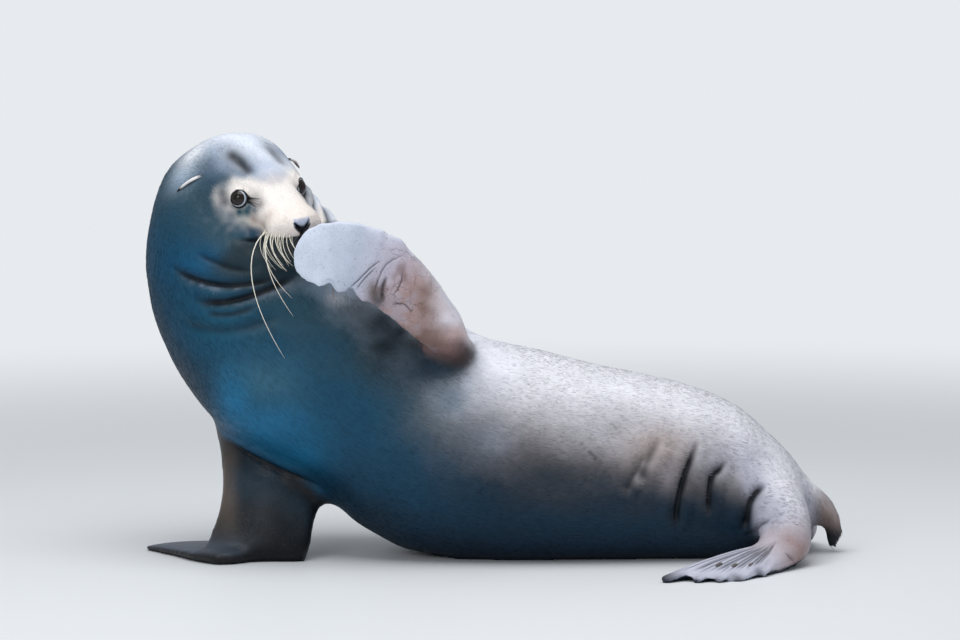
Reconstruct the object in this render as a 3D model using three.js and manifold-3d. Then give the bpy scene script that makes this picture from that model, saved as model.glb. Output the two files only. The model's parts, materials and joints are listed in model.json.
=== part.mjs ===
// A life-size sea lion as a still museum model, in millimetres, +Z up.
// It lies on its belly and its folded hind flippers, props its raised chest on the right fore flipper,
// looks back over its left side and holds the left fore flipper up to its mouth.
// It faces -X, its right side is +Y, and the origin is the middle of the flat of the belly on the floor.

import * as THREE from "three";
import { mergeVertices } from "three/addons/utils/BufferGeometryUtils.js";
import Module from "manifold-3d";

const wasm = await Module();
wasm.setup();

// ---------------------------------------------------------------- driving sizes

const GAP = 0.4; // clear space left between neighbouring solids
const FLOOR = 0; // level of every flat that the animal rests on

// The torso from the tail's root to the back of the skull: each station's centre, half width across the
// body, and reach towards the back (up) and towards the belly (down).
const TORSO = {
  rings: 36,
  around: 34,
  caps: { start: 46, end: 74 },
  square: 0.94,
  stations: [
    { name: "tail root", at: [470, 0, 84], wide: 26, up: 15, down: 38 },
    { name: "rump", at: [424, 0, 98], wide: 64, up: 32, down: 74 },
    { name: "hips", at: [372, 0, 114], wide: 106, up: 78, down: 118 },
    { name: "loin", at: [304, 0, 124], wide: 138, up: 129, down: 146 },
    { name: "belly", at: [200, 0, 141], wide: 164, up: 163, down: 164 },
    { name: "ribs", at: [60, 0, 160], wide: 184, up: 176, down: 186 },
    { name: "breast", at: [-90, 0, 176], wide: 196, up: 196, down: 204 },
    { name: "shoulder", at: [-240, 0, 206], wide: 198, up: 203, down: 207 },
    { name: "withers", at: [-372, 0, 286], wide: 194, up: 206, down: 186 },
    { name: "chest", at: [-478, 0, 368], wide: 190, up: 216, down: 206 },
    { name: "neck root", at: [-543, 0, 450], wide: 182, up: 204, down: 201 },
    { name: "mid neck", at: [-583, 4, 540], wide: 166, up: 180, down: 187 },
    { name: "throat", at: [-600, 13, 612], wide: 142, up: 148, down: 160 },
    { name: "nape", at: [-606, 31, 672], wide: 115, up: 114, down: 131 },
    { name: "skull back", at: [-606, 44, 744], wide: 84, up: 80, down: 108 },
  ],
};

// The head in its own frame: x forward from the line between the ears, y to its left, z up.
const HEAD = {
  at: [-588, -30, 688],
  turn: 34, // degrees that the face turns from the camera side towards the tail
  nod: 21, // degrees that the muzzle points down
  tilt: 9, // degrees that the left ear is raised over the right
  rings: 30,
  around: 28,
  caps: { start: 60, end: 24 },
  square: 0.97,
  stations: [
    { name: "nape", at: [-98, 0, -40], wide: 84, up: 56, down: 60 },
    { name: "occiput", at: [-58, 0, -20], wide: 98, up: 68, down: 84 },
    { name: "ears", at: [0, 0, -6], wide: 96, up: 71, down: 106 },
    { name: "crown", at: [40, 0, -4], wide: 88, up: 62, down: 108 },
    { name: "brow", at: [80, 0, -4], wide: 80, up: 54, down: 98 },
    { name: "eyes", at: [106, 0, -6], wide: 71, up: 49, down: 84 },
    { name: "cheeks", at: [136, 0, -8], wide: 59, up: 41, down: 67 },
    { name: "muzzle", at: [168, 0, -10], wide: 47, up: 35, down: 52 },
    { name: "whisker pads", at: [198, 0, -11], wide: 41, up: 30, down: 40 },
    { name: "lips", at: [226, 0, -11], wide: 36, up: 23, down: 27 },
  ],
  // Soft swellings (+) and hollows (-): centre, reach and height; each side gets its mirror image.
  swellings: [
    { name: "brow ridge", at: [92, 54, 42], reach: 24, height: 6 },
    { name: "eye hollow", at: [112, 66, 2], reach: 19, height: -9 },
    { name: "cheek", at: [92, 72, -40], reach: 34, height: 9 },
    { name: "jowl", at: [40, 88, -66], reach: 44, height: 9 },
    { name: "whisker pad", at: [196, 36, -20], reach: 24, height: 9 },
    { name: "bridge side", at: [158, 34, 22], reach: 20, height: -6 },
    { name: "jaw side", at: [168, 34, -50], reach: 24, height: -8 },
    { name: "crest", at: [20, 0, 80], reach: 44, height: 6 },
  ],
  jaw: { corner: 116, drop: -34, depth: 120, width: 340, slit: 0.5, rise: 5, lean: 8 },
};

const EYE = { at: [99, 54, 4], radius: 20 };

const EAR = {
  at: [16, 89, 12],
  point: [-0.42, 0.74, -0.53],
  length: 56,
  stations: [
    { wide: 6, thick: 4.5 },
    { wide: 9, thick: 6 },
    { wide: 8.5, thick: 5.5 },
    { wide: 6, thick: 4 },
    { wide: 3, thick: 2.2 },
  ],
};

const NOSE = { at: [216, 0, 2], half: [13, 22, 14], tip: 14 };

// Each flipper is a blade: the centre line, the direction of its leading edge, half the chord towards
// the leading (lead) and the trailing edge (trail), and half the thickness.
const RAISED_FLIPPER = {
  rings: 22,
  around: 16,
  caps: { start: 20, end: 52 },
  square: 1,
  stations: [
    { name: "root", at: [-240, -60, 340], edge: [0.35, 0.62, 0.7], lead: 52, trail: 40, thick: 44 },
    { name: "elbow", at: [-214, -138, 388], edge: [0.4, 0.72, 0.55], lead: 50, trail: 34, thick: 36 },
    { name: "forearm", at: [-250, -190, 442], edge: [0.6, 0.42, 0.68], lead: 54, trail: 48, thick: 26 },
    { name: "wrist", at: [-306, -222, 506], edge: [0.55, 0.2, 0.82], lead: 58, trail: 58, thick: 18 },
    { name: "palm", at: [-356, -240, 541], edge: [0.3, 0.08, 0.95], lead: 64, trail: 60, thick: 13 },
    { name: "fingers", at: [-412, -236, 552], edge: [0.08, 0.06, 1], lead: 62, trail: 58, thick: 9 },
    { name: "finger tips", at: [-486, -222, 540], edge: [-0.2, 0.05, 0.97], lead: 48, trail: 48, thick: 5 },
  ],
};

const PROP_ARM = {
  rings: 15,
  around: 16,
  caps: { start: 20, end: 16 },
  square: 0.9,
  stations: [
    { name: "root", at: [-430, 84, 330], edge: [-0.95, 0, -0.3], lead: 150, trail: 92, thick: 60 },
    { name: "elbow", at: [-500, 26, 220], edge: [-0.99, 0, -0.1], lead: 152, trail: 90, thick: 52 },
    { name: "forearm", at: [-534, -46, 130], edge: [-1, 0, 0], lead: 98, trail: 98, thick: 42 },
    { name: "wrist", at: [-549, -86, 66], edge: [-1, 0, 0], lead: 84, trail: 92, thick: 34 },
    { name: "heel of hand", at: [-562, -100, 24], edge: [-1, 0.05, 0], lead: 86, trail: 100, thick: 28 },
    { name: "sole", at: [-566, -102, -6], edge: [-1, 0.05, 0], lead: 92, trail: 96, thick: 26 },
  ],
};

const PROP_HAND = {
  rings: 13,
  around: 14,
  caps: { start: 34, end: 60 },
  square: 0.9,
  stations: [
    { name: "heel", at: [-548, -110, 12], edge: [-0.9, -0.44, 0], lead: 96, trail: 84, thick: 18 },
    { name: "palm", at: [-602, -68, 11], edge: [-0.85, -0.5, 0], lead: 90, trail: 88, thick: 17 },
    { name: "fingers", at: [-668, -14, 9], edge: [-0.8, -0.6, 0], lead: 68, trail: 64, thick: 12 },
    { name: "finger tips", at: [-728, 16, 7], edge: [-0.75, -0.66, 0], lead: 38, trail: 40, thick: 8 },
    { name: "tip", at: [-770, 28, 5], edge: [-0.7, -0.7, 0], lead: 16, trail: 24, thick: 5 },
  ],
};

// The left leg folds forward under the rump: a stout shank down to the heel, and five webbed toes.
const LEG = {
  rings: 14,
  around: 12,
  caps: { start: 30, end: 26 },
  square: 1,
  stations: [
    { name: "hip", at: [344, -58, 122], edge: [1, 0, 0], lead: 58, trail: 60, thick: 58 },
    { name: "shank", at: [374, -112, 92], edge: [1, 0, 0], lead: 50, trail: 54, thick: 50 },
    { name: "heel", at: [381, -150, 38], edge: [0.9, -0.3, 0], lead: 46, trail: 48, thick: 40 },
    { name: "instep", at: [334, -206, 16], edge: [0.62, -0.76, 0], lead: 50, trail: 48, thick: 28 },
    { name: "web", at: [280, -262, 8], edge: [0.78, -0.6, 0], lead: 56, trail: 58, thick: 12 },
    { name: "web edge", at: [228, -318, 4], edge: [0.9, 0.1, 0], lead: 68, trail: 60, thick: 6 },
  ],
};

const TOES = {
  from: [372, -166, 38],
  rings: 7,
  around: 7,
  tips: [
    { name: "first toe", at: [146, -362, 4], swell: 19, tip: 11 },
    { name: "second toe", at: [202, -364, 4], swell: 18, tip: 10 },
    { name: "third toe", at: [240, -362, 4], swell: 17, tip: 10 },
    { name: "fourth toe", at: [280, -342, 4], swell: 18, tip: 10 },
    { name: "fifth toe", at: [320, -300, 4], swell: 20, tip: 12 },
  ],
  flatness: 0.5, // height of a toe as a share of its width
  lift: 6, // how far the first toe arches over the straight line to its tip
  clawed: [1, 2, 3],
};

const CLAW = { along: 0.72, half: [11, 3.4, 2.6] };
// The right leg is the left one mirrored, moved by the shift, and leant forward by a share of its height.
const RIGHT_LEG = { shift: [46, -68, 0], lean: -0.27 };

const TAIL = {
  rings: 9,
  around: 10,
  caps: { start: 12, end: 26 },
  square: 1,
  stations: [
    { name: "root", at: [424, 0, 108], wide: 34, up: 25, down: 28 },
    { name: "middle", at: [462, 0, 78], wide: 28, up: 23, down: 22 },
    { name: "bend", at: [478, 0, 44], wide: 20, up: 17, down: 17 },
    { name: "tip", at: [471, 0, 9], wide: 8, up: 7, down: 7 },
  ],
};

// The cuts that part the torso and the head: a point, the direction across the cut, and its half size.
const NECK_CUT = { at: [-520, 0, 420], across: [-0.62, 0, 0.78], half: 330 };
const HEAD_CUT = { at: [-578, -20, 598], across: [0.06, -0.38, 0.92], half: 260 };

// ---------------------------------------------------------------- materials

const skin = (color, roughness) => new THREE.MeshStandardMaterial({ color, roughness, metalness: 0 });
const MATERIALS = {
  wetCoat: skin(0x4d4f56, 0.42),
  faceCoat: skin(0x9a8a7c, 0.45),
  bareSkin: skin(0x6d6468, 0.4),
  noseSkin: skin(0x2b2c31, 0.35),
  eyeball: skin(0x1a1210, 0.08),
  claw: skin(0x2a2523, 0.4),
};

// ---------------------------------------------------------------- shape tools

// A three.js geometry as a manifold solid, and back.
function solidFrom(geometry) {
  const bare = geometry.clone();
  bare.deleteAttribute("normal");
  bare.deleteAttribute("uv");
  const merged = mergeVertices(bare, 1e-3);
  const mesh = new wasm.Mesh({
    numProp: 3,
    vertProperties: merged.getAttribute("position").array,
    triVerts: new Uint32Array(merged.index.array),
  });
  return new wasm.Manifold(mesh);
}

function geometryFrom(solid) {
  const mesh = solid.getMesh();
  const geometry = new THREE.BufferGeometry();
  geometry.setAttribute("position", new THREE.BufferAttribute(mesh.vertProperties, 3));
  geometry.setIndex(new THREE.BufferAttribute(mesh.triVerts, 1));
  geometry.computeVertexNormals();
  return geometry;
}

// A smooth track through the stations: at a distance along it, every size of the section there.
function trackThrough(stations, channelsOf) {
  const points = stations.map((station) => new THREE.Vector3(...station.at));
  const distances = [0];
  for (let i = 1; i < points.length; i++) {
    distances.push(distances[i - 1] + points[i].distanceTo(points[i - 1]));
  }
  const rows = stations.map((station) => [...station.at, ...channelsOf(station)]);
  const size = rows[0].length;
  const curve = new THREE.CubicInterpolant(distances, rows.flat(), size, new Float64Array(size));
  return { length: distances.at(-1), evaluate: (distance) => [...curve.evaluate(distance)] };
}

// How full a section is near the rounded ends of a form: 0 at its tips and 1 past its caps.
function fullness(distance, length, caps) {
  const rounded = (reach, cap) => {
    const left = 1 - Math.min(reach / cap, 1);
    return Math.sqrt(1 - left * left);
  };
  return rounded(distance, caps.start) * rounded(length - distance, caps.end);
}

const power = (value, exponent) => Math.sign(value) * Math.abs(value) ** exponent;

// A closed form whose rings run along the track. Each ring spans its section's half widths on two sides
// (lead, trail) and two heights (up, down). A form that is grown by some millimetres is that much bigger.
function ringedForm({ stations, channelsOf, rings, around, caps, square }, grow = 0, swell = null) {
  const track = trackThrough(stations, channelsOf);
  const geometry = new THREE.SphereGeometry(1, around, rings);
  const position = geometry.getAttribute("position");
  const onSphere = new THREE.Vector3();
  const placed = new THREE.Vector3();
  for (let i = 0; i < position.count; i++) {
    onSphere.fromBufferAttribute(position, i);
    const share = (1 - onSphere.y) / 2;
    const distance = share * track.length;
    const angle = Math.atan2(-onSphere.z, onSphere.x);
    pointOnForm(track, caps, square, distance, angle, grow, placed);
    if (swell) swell(placed, centreAt(track, distance));
    placed.z = Math.max(placed.z, swell ? -Infinity : FLOOR - grow);
    position.setXYZ(i, placed.x, placed.y, placed.z);
  }
  return geometry;
}

function centreAt(track, distance) {
  const [x, y, z] = track.evaluate(distance);
  return new THREE.Vector3(x, y, z);
}

// The point of a ringed form at a distance along it and an angle around it (0 is the leading side and a
// quarter turn is up).
function pointOnForm(track, caps, square, distance, angle, grow, target = new THREE.Vector3()) {
  const [x, y, z, edgeX, edgeY, edgeZ, lead, trail, up, down] = track.evaluate(distance);
  const step = track.length / 500;
  const before = centreAt(track, Math.max(distance - step, 0));
  const after = centreAt(track, Math.min(distance + step, track.length));
  const heading = after.sub(before).normalize();
  const side = new THREE.Vector3(edgeX, edgeY, edgeZ);
  side.addScaledVector(heading, -side.dot(heading)).normalize();
  const rise = new THREE.Vector3().crossVectors(side, heading);
  const full = fullness(distance, track.length, caps);
  const across = power(Math.cos(angle), square);
  const high = power(Math.sin(angle), square);
  const halfAcross = (across > 0 ? lead : trail) * full + (full > 0 ? grow : 0);
  const halfHigh = (high > 0 ? up : down) * full + (full > 0 ? grow : 0);
  target.set(x, y, z);
  target.addScaledVector(side, across * halfAcross).addScaledVector(rise, high * halfHigh);
  if (full === 0) target.addScaledVector(heading, distance > track.length / 2 ? grow : -grow);
  return target;
}

const bodyChannels = ({ wide, up, down }) => [0, 1, 0, wide, wide, up, down];
const bladeChannels = ({ edge, lead, trail, thick }) => [...edge, lead, trail, thick, thick];

const bodyForm = (form, grow, swell) => ringedForm({ ...form, channelsOf: bodyChannels }, grow, swell);
const bladeForm = (form, grow) => ringedForm({ ...form, channelsOf: bladeChannels }, grow);

// ---------------------------------------------------------------- head

// The matrix that carries the head's own frame to its place on the neck.
function headMatrix() {
  const [turn, nod, tilt] = [HEAD.turn, HEAD.nod, HEAD.tilt].map(THREE.MathUtils.degToRad);
  const forward = new THREE.Vector3(
    Math.sin(turn) * Math.cos(nod),
    -Math.cos(turn) * Math.cos(nod),
    -Math.sin(nod),
  );
  const level = new THREE.Vector3(Math.cos(turn), Math.sin(turn), 0);
  const left = level.applyAxisAngle(forward, tilt);
  const up = new THREE.Vector3().crossVectors(forward, left);
  return new THREE.Matrix4().makeBasis(forward, left, up).setPosition(...HEAD.at);
}

const mirrored = ([x, y, z], side) => [x, y * side, z];

function swellHead(point, centre) {
  const outward = point.clone().sub(centre);
  if (outward.lengthSq() === 0) return;
  outward.normalize();
  const start = point.clone();
  for (const { at, reach, height } of HEAD.swellings) {
    for (const side of at[1] === 0 ? [1] : [1, -1]) {
      const away = start.distanceTo(new THREE.Vector3(...mirrored(at, side))) / reach;
      point.addScaledVector(outward, height * Math.exp(-away * away));
    }
  }
}

function headForm(grow = 0) {
  const right = { ...HEAD, channelsOf: ({ wide, up, down }) => [0, -1, 0, wide, wide, up, down] };
  return ringedForm(right, grow, swellHead).applyMatrix4(headMatrix());
}

function eyeball(side, grow = 0) {
  const ball = new THREE.SphereGeometry(EYE.radius + grow, 12, 9);
  return ball.translate(...mirrored(EYE.at, side)).applyMatrix4(headMatrix());
}

// An ear is a small rolled cone that points backwards and down from its root.
function ear(side) {
  const root = new THREE.Vector3(...mirrored(EAR.at, side));
  const point = new THREE.Vector3(...mirrored(EAR.point, side)).normalize();
  const stations = EAR.stations.map(({ wide, thick }, i) => ({
    at: root.clone().addScaledVector(point, (EAR.length * i) / (EAR.stations.length - 1)).toArray(),
    edge: [0.6, 0, -0.8],
    lead: wide,
    trail: wide,
    thick,
  }));
  const form = { stations, rings: 8, around: 8, caps: { start: 8, end: 6 }, square: 1 };
  const channelsOf = bladeChannels;
  return ringedForm({ ...form, channelsOf }, 0, () => {}).applyMatrix4(headMatrix());
}

function noseForm() {
  const nose = new THREE.SphereGeometry(1, 12, 7).scale(...NOSE.half);
  nose.rotateY(THREE.MathUtils.degToRad(NOSE.tip)).translate(...NOSE.at);
  return nose.applyMatrix4(headMatrix());
}

// The slit between the lips, and the cut behind the corner of the mouth that frees the lower jaw.
function jawCut() {
  const { corner, drop, depth, width, slit, rise, lean } = HEAD.jaw;
  const long = 260 - corner;
  const turnBy = (geometry, degrees) => geometry.rotateY(THREE.MathUtils.degToRad(degrees));
  const lips = new THREE.BoxGeometry(long, width, slit).translate(long / 2, 0, 0);
  turnBy(lips, -rise).translate(corner, 0, drop);
  const back = new THREE.BoxGeometry(slit, width, depth).translate(0, 0, (slit - depth) / 2);
  turnBy(back, lean).translate(corner, 0, drop);
  return solidFrom(lips.applyMatrix4(headMatrix())).add(solidFrom(back.applyMatrix4(headMatrix())));
}

// ---------------------------------------------------------------- hind flippers

// One toe arches from the ankle to its tip, and is widest where the fleshy flap begins.
function toeForm(toe, index, grow = 0) {
  const from = new THREE.Vector3(...TOES.from);
  const to = new THREE.Vector3(...toe.at);
  const last = TOES.tips.length - 1;
  const arch = TOES.lift * (1 - index / last);
  const along = to.clone().sub(from);
  const edge = new THREE.Vector3(-along.y, along.x, 0).normalize().toArray();
  const shares = [0, 0.3, 0.62, 0.86, 1];
  const widths = [toe.swell, toe.swell, toe.swell * 0.86, toe.tip * 1.15, toe.tip];
  const stations = shares.map((share, i) => {
    const at = from.clone().addScaledVector(along, share);
    at.z += arch * Math.sin(Math.PI * share);
    return { at: at.toArray(), edge, lead: widths[i], trail: widths[i], thick: widths[i] * TOES.flatness };
  });
  const { rings, around } = TOES;
  return bladeForm({ stations, rings, around, caps: { start: 14, end: 18 }, square: 1 }, grow);
}

function hindFlipper(grow = 0) {
  const toes = TOES.tips.map((toe, index) => solidFrom(toeForm(toe, index, grow)));
  return toes.reduce((whole, toe) => whole.add(toe), solidFrom(bladeForm(LEG, grow)));
}

// A claw lies on top of its toe, a good way back from the end of the flap.
function clawForm(index) {
  const toe = TOES.tips[index];
  const from = new THREE.Vector3(...TOES.from);
  const along = new THREE.Vector3(...toe.at).sub(from);
  const at = from.clone().addScaledVector(along, CLAW.along);
  const arch = TOES.lift * (1 - index / (TOES.tips.length - 1)) * Math.sin(Math.PI * CLAW.along);
  at.z += arch + toe.swell * TOES.flatness * 0.86;
  const claw = new THREE.SphereGeometry(1, 7, 4).scale(...CLAW.half);
  const slope = Math.atan2(along.z, Math.hypot(along.x, along.y));
  claw.rotateY(-slope).rotateZ(Math.atan2(along.y, along.x));
  return claw.translate(...at.toArray());
}

// ---------------------------------------------------------------- assembly

// A thin square slab that cuts right across a form.
function slab({ at, across, half }) {
  const geometry = new THREE.BoxGeometry(2 * half, 2 * half, GAP);
  const turn = new THREE.Quaternion().setFromUnitVectors(
    new THREE.Vector3(0, 0, 1),
    new THREE.Vector3(...across).normalize(),
  );
  return solidFrom(geometry.applyQuaternion(turn).translate(...at));
}

const largest = (solid) => solid.decompose().sort((a, b) => b.volume() - a.volume())[0];

const heightOf = (solid) => {
  const { min, max } = solid.boundingBox();
  return (min[2] + max[2]) / 2;
};

// Mirrors the left leg's solid to the right side.
function toRightLeg(solid) {
  const geometry = geometryFrom(solid).scale(1, -1, 1);
  const index = geometry.index.array;
  for (let i = 0; i < index.length; i += 3) {
    [index[i + 1], index[i + 2]] = [index[i + 2], index[i + 1]];
  }
  const lean = new THREE.Matrix4().makeShear(0, 0, 0, 0, RIGHT_LEG.lean, 0);
  return solidFrom(geometry.applyMatrix4(lean).translate(...RIGHT_LEG.shift));
}

function buildSolids() {
  const headGrown = solidFrom(headForm(GAP));
  const torsoGrown = solidFrom(bodyForm(TORSO, GAP));
  const flesh = solidFrom(bodyForm(TORSO)).add(solidFrom(headForm()));
  const parted = flesh.subtract(slab(NECK_CUT)).subtract(slab(HEAD_CUT)).decompose();
  const [trunk, neck, skull] = parted.sort((a, b) => heightOf(a) - heightOf(b));

  const sockets = solidFrom(eyeball(1, GAP)).add(solidFrom(eyeball(-1, GAP)));
  const jaws = skull.subtract(sockets).subtract(jawCut()).decompose();
  const [head, lowerJaw] = jaws.sort((a, b) => b.volume() - a.volume());

  const tailGrown = solidFrom(bodyForm(TAIL, GAP));
  const bodyGrown = torsoGrown.add(headGrown);
  const leg = hindFlipper();
  const propped = solidFrom(bladeForm(PROP_ARM)).add(solidFrom(bladeForm(PROP_HAND)));
  const claws = TOES.clawed.map((index) => solidFrom(clawForm(index)).subtract(hindFlipper(GAP)));
  const solids = {
    trunk: [trunk, "wetCoat"],
    neck: [neck, "wetCoat"],
    head: [head, "faceCoat"],
    lower_jaw: [lowerJaw, "faceCoat"],
    nose: [largest(solidFrom(noseForm()).subtract(headGrown)), "noseSkin"],
    tail: [largest(solidFrom(bodyForm(TAIL)).subtract(torsoGrown)), "wetCoat"],
    fore_flipper_left: [largest(solidFrom(bladeForm(RAISED_FLIPPER)).subtract(bodyGrown)), "bareSkin"],
    fore_flipper_right: [largest(propped.subtract(bodyGrown)), "bareSkin"],
    hind_flipper_left: [largest(leg.subtract(torsoGrown.add(tailGrown))), "bareSkin"],
    hind_flipper_right: [largest(toRightLeg(leg).subtract(torsoGrown.add(tailGrown))), "bareSkin"],
  };
  for (const [label, side] of [["left", 1], ["right", -1]]) {
    solids[`eye_${label}`] = [solidFrom(eyeball(side)), "eyeball"];
    solids[`ear_${label}`] = [largest(solidFrom(ear(side)).subtract(bodyGrown)), "wetCoat"];
  }
  claws.forEach((claw, i) => {
    const toe = TOES.clawed[i] + 1;
    solids[`claw_left_${toe}`] = [claw, "claw"];
    solids[`claw_right_${toe}`] = [toRightLeg(claw), "claw"];
  });
  return solids;
}

function seaLion() {
  const group = new THREE.Group();
  for (const [name, [solid, material]] of Object.entries(buildSolids())) {
    const mesh = new THREE.Mesh(geometryFrom(solid), MATERIALS[material]);
    mesh.name = name;
    group.add(mesh);
  }
  return group;
}

export default seaLion();
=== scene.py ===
"""A life-size sea lion as a still museum model, with skin, coat, eyes, whiskers and claws around the solids.

The animal faces -X, its right side is +Y, and all sizes are in metres.
"""

from __future__ import annotations

import json
import logging
import math
from collections.abc import Callable
from dataclasses import dataclass, field, replace
from enum import Enum

import bmesh
import bpy
import numpy as np
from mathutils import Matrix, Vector, noise
from mathutils.bvhtree import BVHTree

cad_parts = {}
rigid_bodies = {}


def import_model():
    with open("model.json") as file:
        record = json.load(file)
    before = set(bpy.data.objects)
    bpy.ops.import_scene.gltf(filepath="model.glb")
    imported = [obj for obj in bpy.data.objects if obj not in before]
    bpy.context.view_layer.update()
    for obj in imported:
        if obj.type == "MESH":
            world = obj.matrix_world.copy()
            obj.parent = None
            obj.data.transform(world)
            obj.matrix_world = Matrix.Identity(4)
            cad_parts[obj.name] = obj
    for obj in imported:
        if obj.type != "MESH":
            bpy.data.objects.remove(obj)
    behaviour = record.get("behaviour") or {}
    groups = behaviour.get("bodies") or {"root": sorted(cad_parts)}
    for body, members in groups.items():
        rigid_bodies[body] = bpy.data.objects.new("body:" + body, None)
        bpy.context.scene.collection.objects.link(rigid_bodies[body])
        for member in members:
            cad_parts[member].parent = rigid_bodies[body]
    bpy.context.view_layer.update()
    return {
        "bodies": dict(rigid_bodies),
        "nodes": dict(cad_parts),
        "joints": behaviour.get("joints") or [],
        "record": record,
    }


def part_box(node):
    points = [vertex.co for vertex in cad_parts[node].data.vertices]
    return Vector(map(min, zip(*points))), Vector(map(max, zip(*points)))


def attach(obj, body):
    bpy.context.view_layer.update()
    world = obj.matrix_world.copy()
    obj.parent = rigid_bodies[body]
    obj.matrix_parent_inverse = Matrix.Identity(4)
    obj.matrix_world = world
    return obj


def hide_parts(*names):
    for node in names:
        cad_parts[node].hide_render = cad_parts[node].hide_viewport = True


LOG = logging.getLogger("sea_lion")
BODY = "root"
BAKE_MAP = "OFBake"

TINY = 1e-12
FLOOR_GAP = 0.0003  # how far above the floor the lowest flesh stays

Array = np.ndarray
Point = tuple[float, float, float]
Colour = tuple[float, float, float]
Line = tuple[Point, ...]


class Side(Enum):
    """The animal's two sides; the value is the sign of the head's leftward axis."""

    LEFT = 1
    RIGHT = -1

    @property
    def label(self) -> str:
        """The word used in the names of nodes and pieces."""
        return self.name.lower()


# ---------------------------------------------------------------- small mathematics


def smoothstep(low: float, high: float, values: Array) -> Array:
    """A soft step from 0 at low to 1 at high."""
    share = np.clip((values - low) / (high - low), 0.0, 1.0)
    return share * share * (3.0 - 2.0 * share)


def bell(values: Array, reach: float) -> Array:
    """1 at zero, fading to almost nothing at twice the reach."""
    return np.exp(-((values / reach) ** 2))


def unit(vectors: Array) -> Array:
    """The vectors at length 1."""
    return vectors / np.maximum(np.linalg.norm(vectors, axis=-1, keepdims=True), TINY)


def off_point(points: Array, at: Point, squash: Point | float = 1.0) -> Array:
    """How far points are from one point, along axes that a squash above 1 shortens."""
    return np.linalg.norm((points - np.asarray(at)) / squash, axis=1)


def spot(points: Array, at: Point, reach: float, squash: Point | float = 1.0) -> Array:
    """1 at one point, fading to almost nothing at twice the reach around it."""
    return bell(off_point(points, at, squash), reach)


def folded(local: Array) -> Array:
    """Points of the head's frame, with those of its right side carried over to the left."""
    return np.stack([local[:, 0], np.abs(local[:, 1]), local[:, 2]], 1)


def mixed(first: Array | Colour, second: Array | Colour, share: Array) -> Array:
    """Rows of first and second mixed by a share for each row; either can be one row for all."""
    share = np.asarray(share)[:, None]
    return np.asarray(first) * (1.0 - share) + np.asarray(second) * share


def blended(first: Array | float, second: float, share: Array) -> Array:
    """Numbers between first and second, by a share for each."""
    return first * (1 - share) + second * share


def rounded_line(waypoints: Array, steps: int) -> Array:
    """A Catmull-Rom line through the waypoints.

    Args:
        waypoints: at least two points.
        steps: how many pieces each stretch is divided into.

    Returns:
        The points of the line, from the first waypoint to the last.
    """
    points = np.asarray(waypoints, float)
    padded = np.vstack([2 * points[0] - points[1], points, 2 * points[-1] - points[-2]])
    shares = np.arange(steps)[:, None] / steps
    stretches = []
    for i in range(len(points) - 1):
        a, b, c, d = padded[i : i + 4]
        linear = (c - a) * shares
        square = (2 * a - 5 * b + 4 * c - d) * shares**2
        cube = (3 * b - a - 3 * c + d) * shares**3
        stretches.append(b + 0.5 * (linear + square + cube))
    return np.vstack([*stretches, points[-1:]])


def nearest_stretch(points: Array, line: Array) -> tuple[Array, Array, Array]:
    """Finds where a line passes nearest to each point.

    Args:
        points: the points.
        line: the points of the line.

    Returns:
        The distance, the number of the line's stretch there, and the share of that stretch passed.
    """
    best = np.full(len(points), np.inf)
    number = np.zeros(len(points), int)
    passed = np.zeros(len(points))
    for i, span in enumerate(np.diff(line, axis=0)):
        share = np.clip((points - line[i]) @ span / (span @ span + TINY), 0.0, 1.0)
        away = np.linalg.norm(points - line[i] - share[:, None] * span, axis=1)
        closer = away < best
        best[closer], number[closer], passed[closer] = away[closer], i, share[closer]
    return best, number, passed


def rows_at(values: Array | float, stops: Array, rows: Array) -> Array:
    """Rows between the given ones, by where the values lie among the stops."""
    return np.stack([np.interp(values, stops, column) for column in np.transpose(rows)], -1)


def cloud_noise(points: Array, size: float, seed: float = 0.0) -> Array:
    """Smooth noise from about -1 to 1 at each point, with features of about the given size."""
    offset = Vector((seed, 1.7 * seed, -seed))
    return np.array([noise.noise(Vector(point) / size + offset) for point in points])


# ---------------------------------------------------------------- mesh access


def rows_of(items: bpy.types.bpy_prop_collection, key: str, width: int, kind: type = np.float32) -> Array:
    """One property of a mesh's items, with a row for each item."""
    flat = np.empty(len(items) * width, kind)
    items.foreach_get(key, flat)
    return flat.reshape(-1, width)


def places_of(piece: bpy.types.Object) -> Array:
    """The vertices of a mesh as an array of points."""
    return rows_of(piece.data.vertices, "co", 3).astype(float)


def normals_of(piece: bpy.types.Object) -> Array:
    """The normals at a mesh's vertices."""
    return rows_of(piece.data.vertices, "normal", 3).astype(float)


def edges_of(piece: bpy.types.Object) -> Array:
    """The pairs of vertices that a mesh's edges join."""
    return rows_of(piece.data.edges, "vertices", 2, np.int32)


def move_to(piece: bpy.types.Object, points: Array) -> None:
    """Puts the vertices of a mesh at the points."""
    piece.data.vertices.foreach_set("co", points.astype(np.float32).ravel())
    piece.data.update()


def write_colours(piece: bpy.types.Object, name: str, colours: Array) -> None:
    """Stores a colour, or four numbers, at each vertex under the name."""
    values = np.ones((len(piece.data.vertices), 4), np.float32)
    values[:, : colours.shape[1]] = colours
    layer = piece.data.attributes.new(name, "FLOAT_COLOR", "POINT")
    layer.data.foreach_set("color", values.ravel())


def write_vectors(piece: bpy.types.Object, name: str, vectors: Array) -> None:
    """Stores a vector at each vertex under the name."""
    layer = piece.data.attributes.new(name, "FLOAT_VECTOR", "POINT")
    layer.data.foreach_set("vector", vectors.astype(np.float32).ravel())


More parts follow.
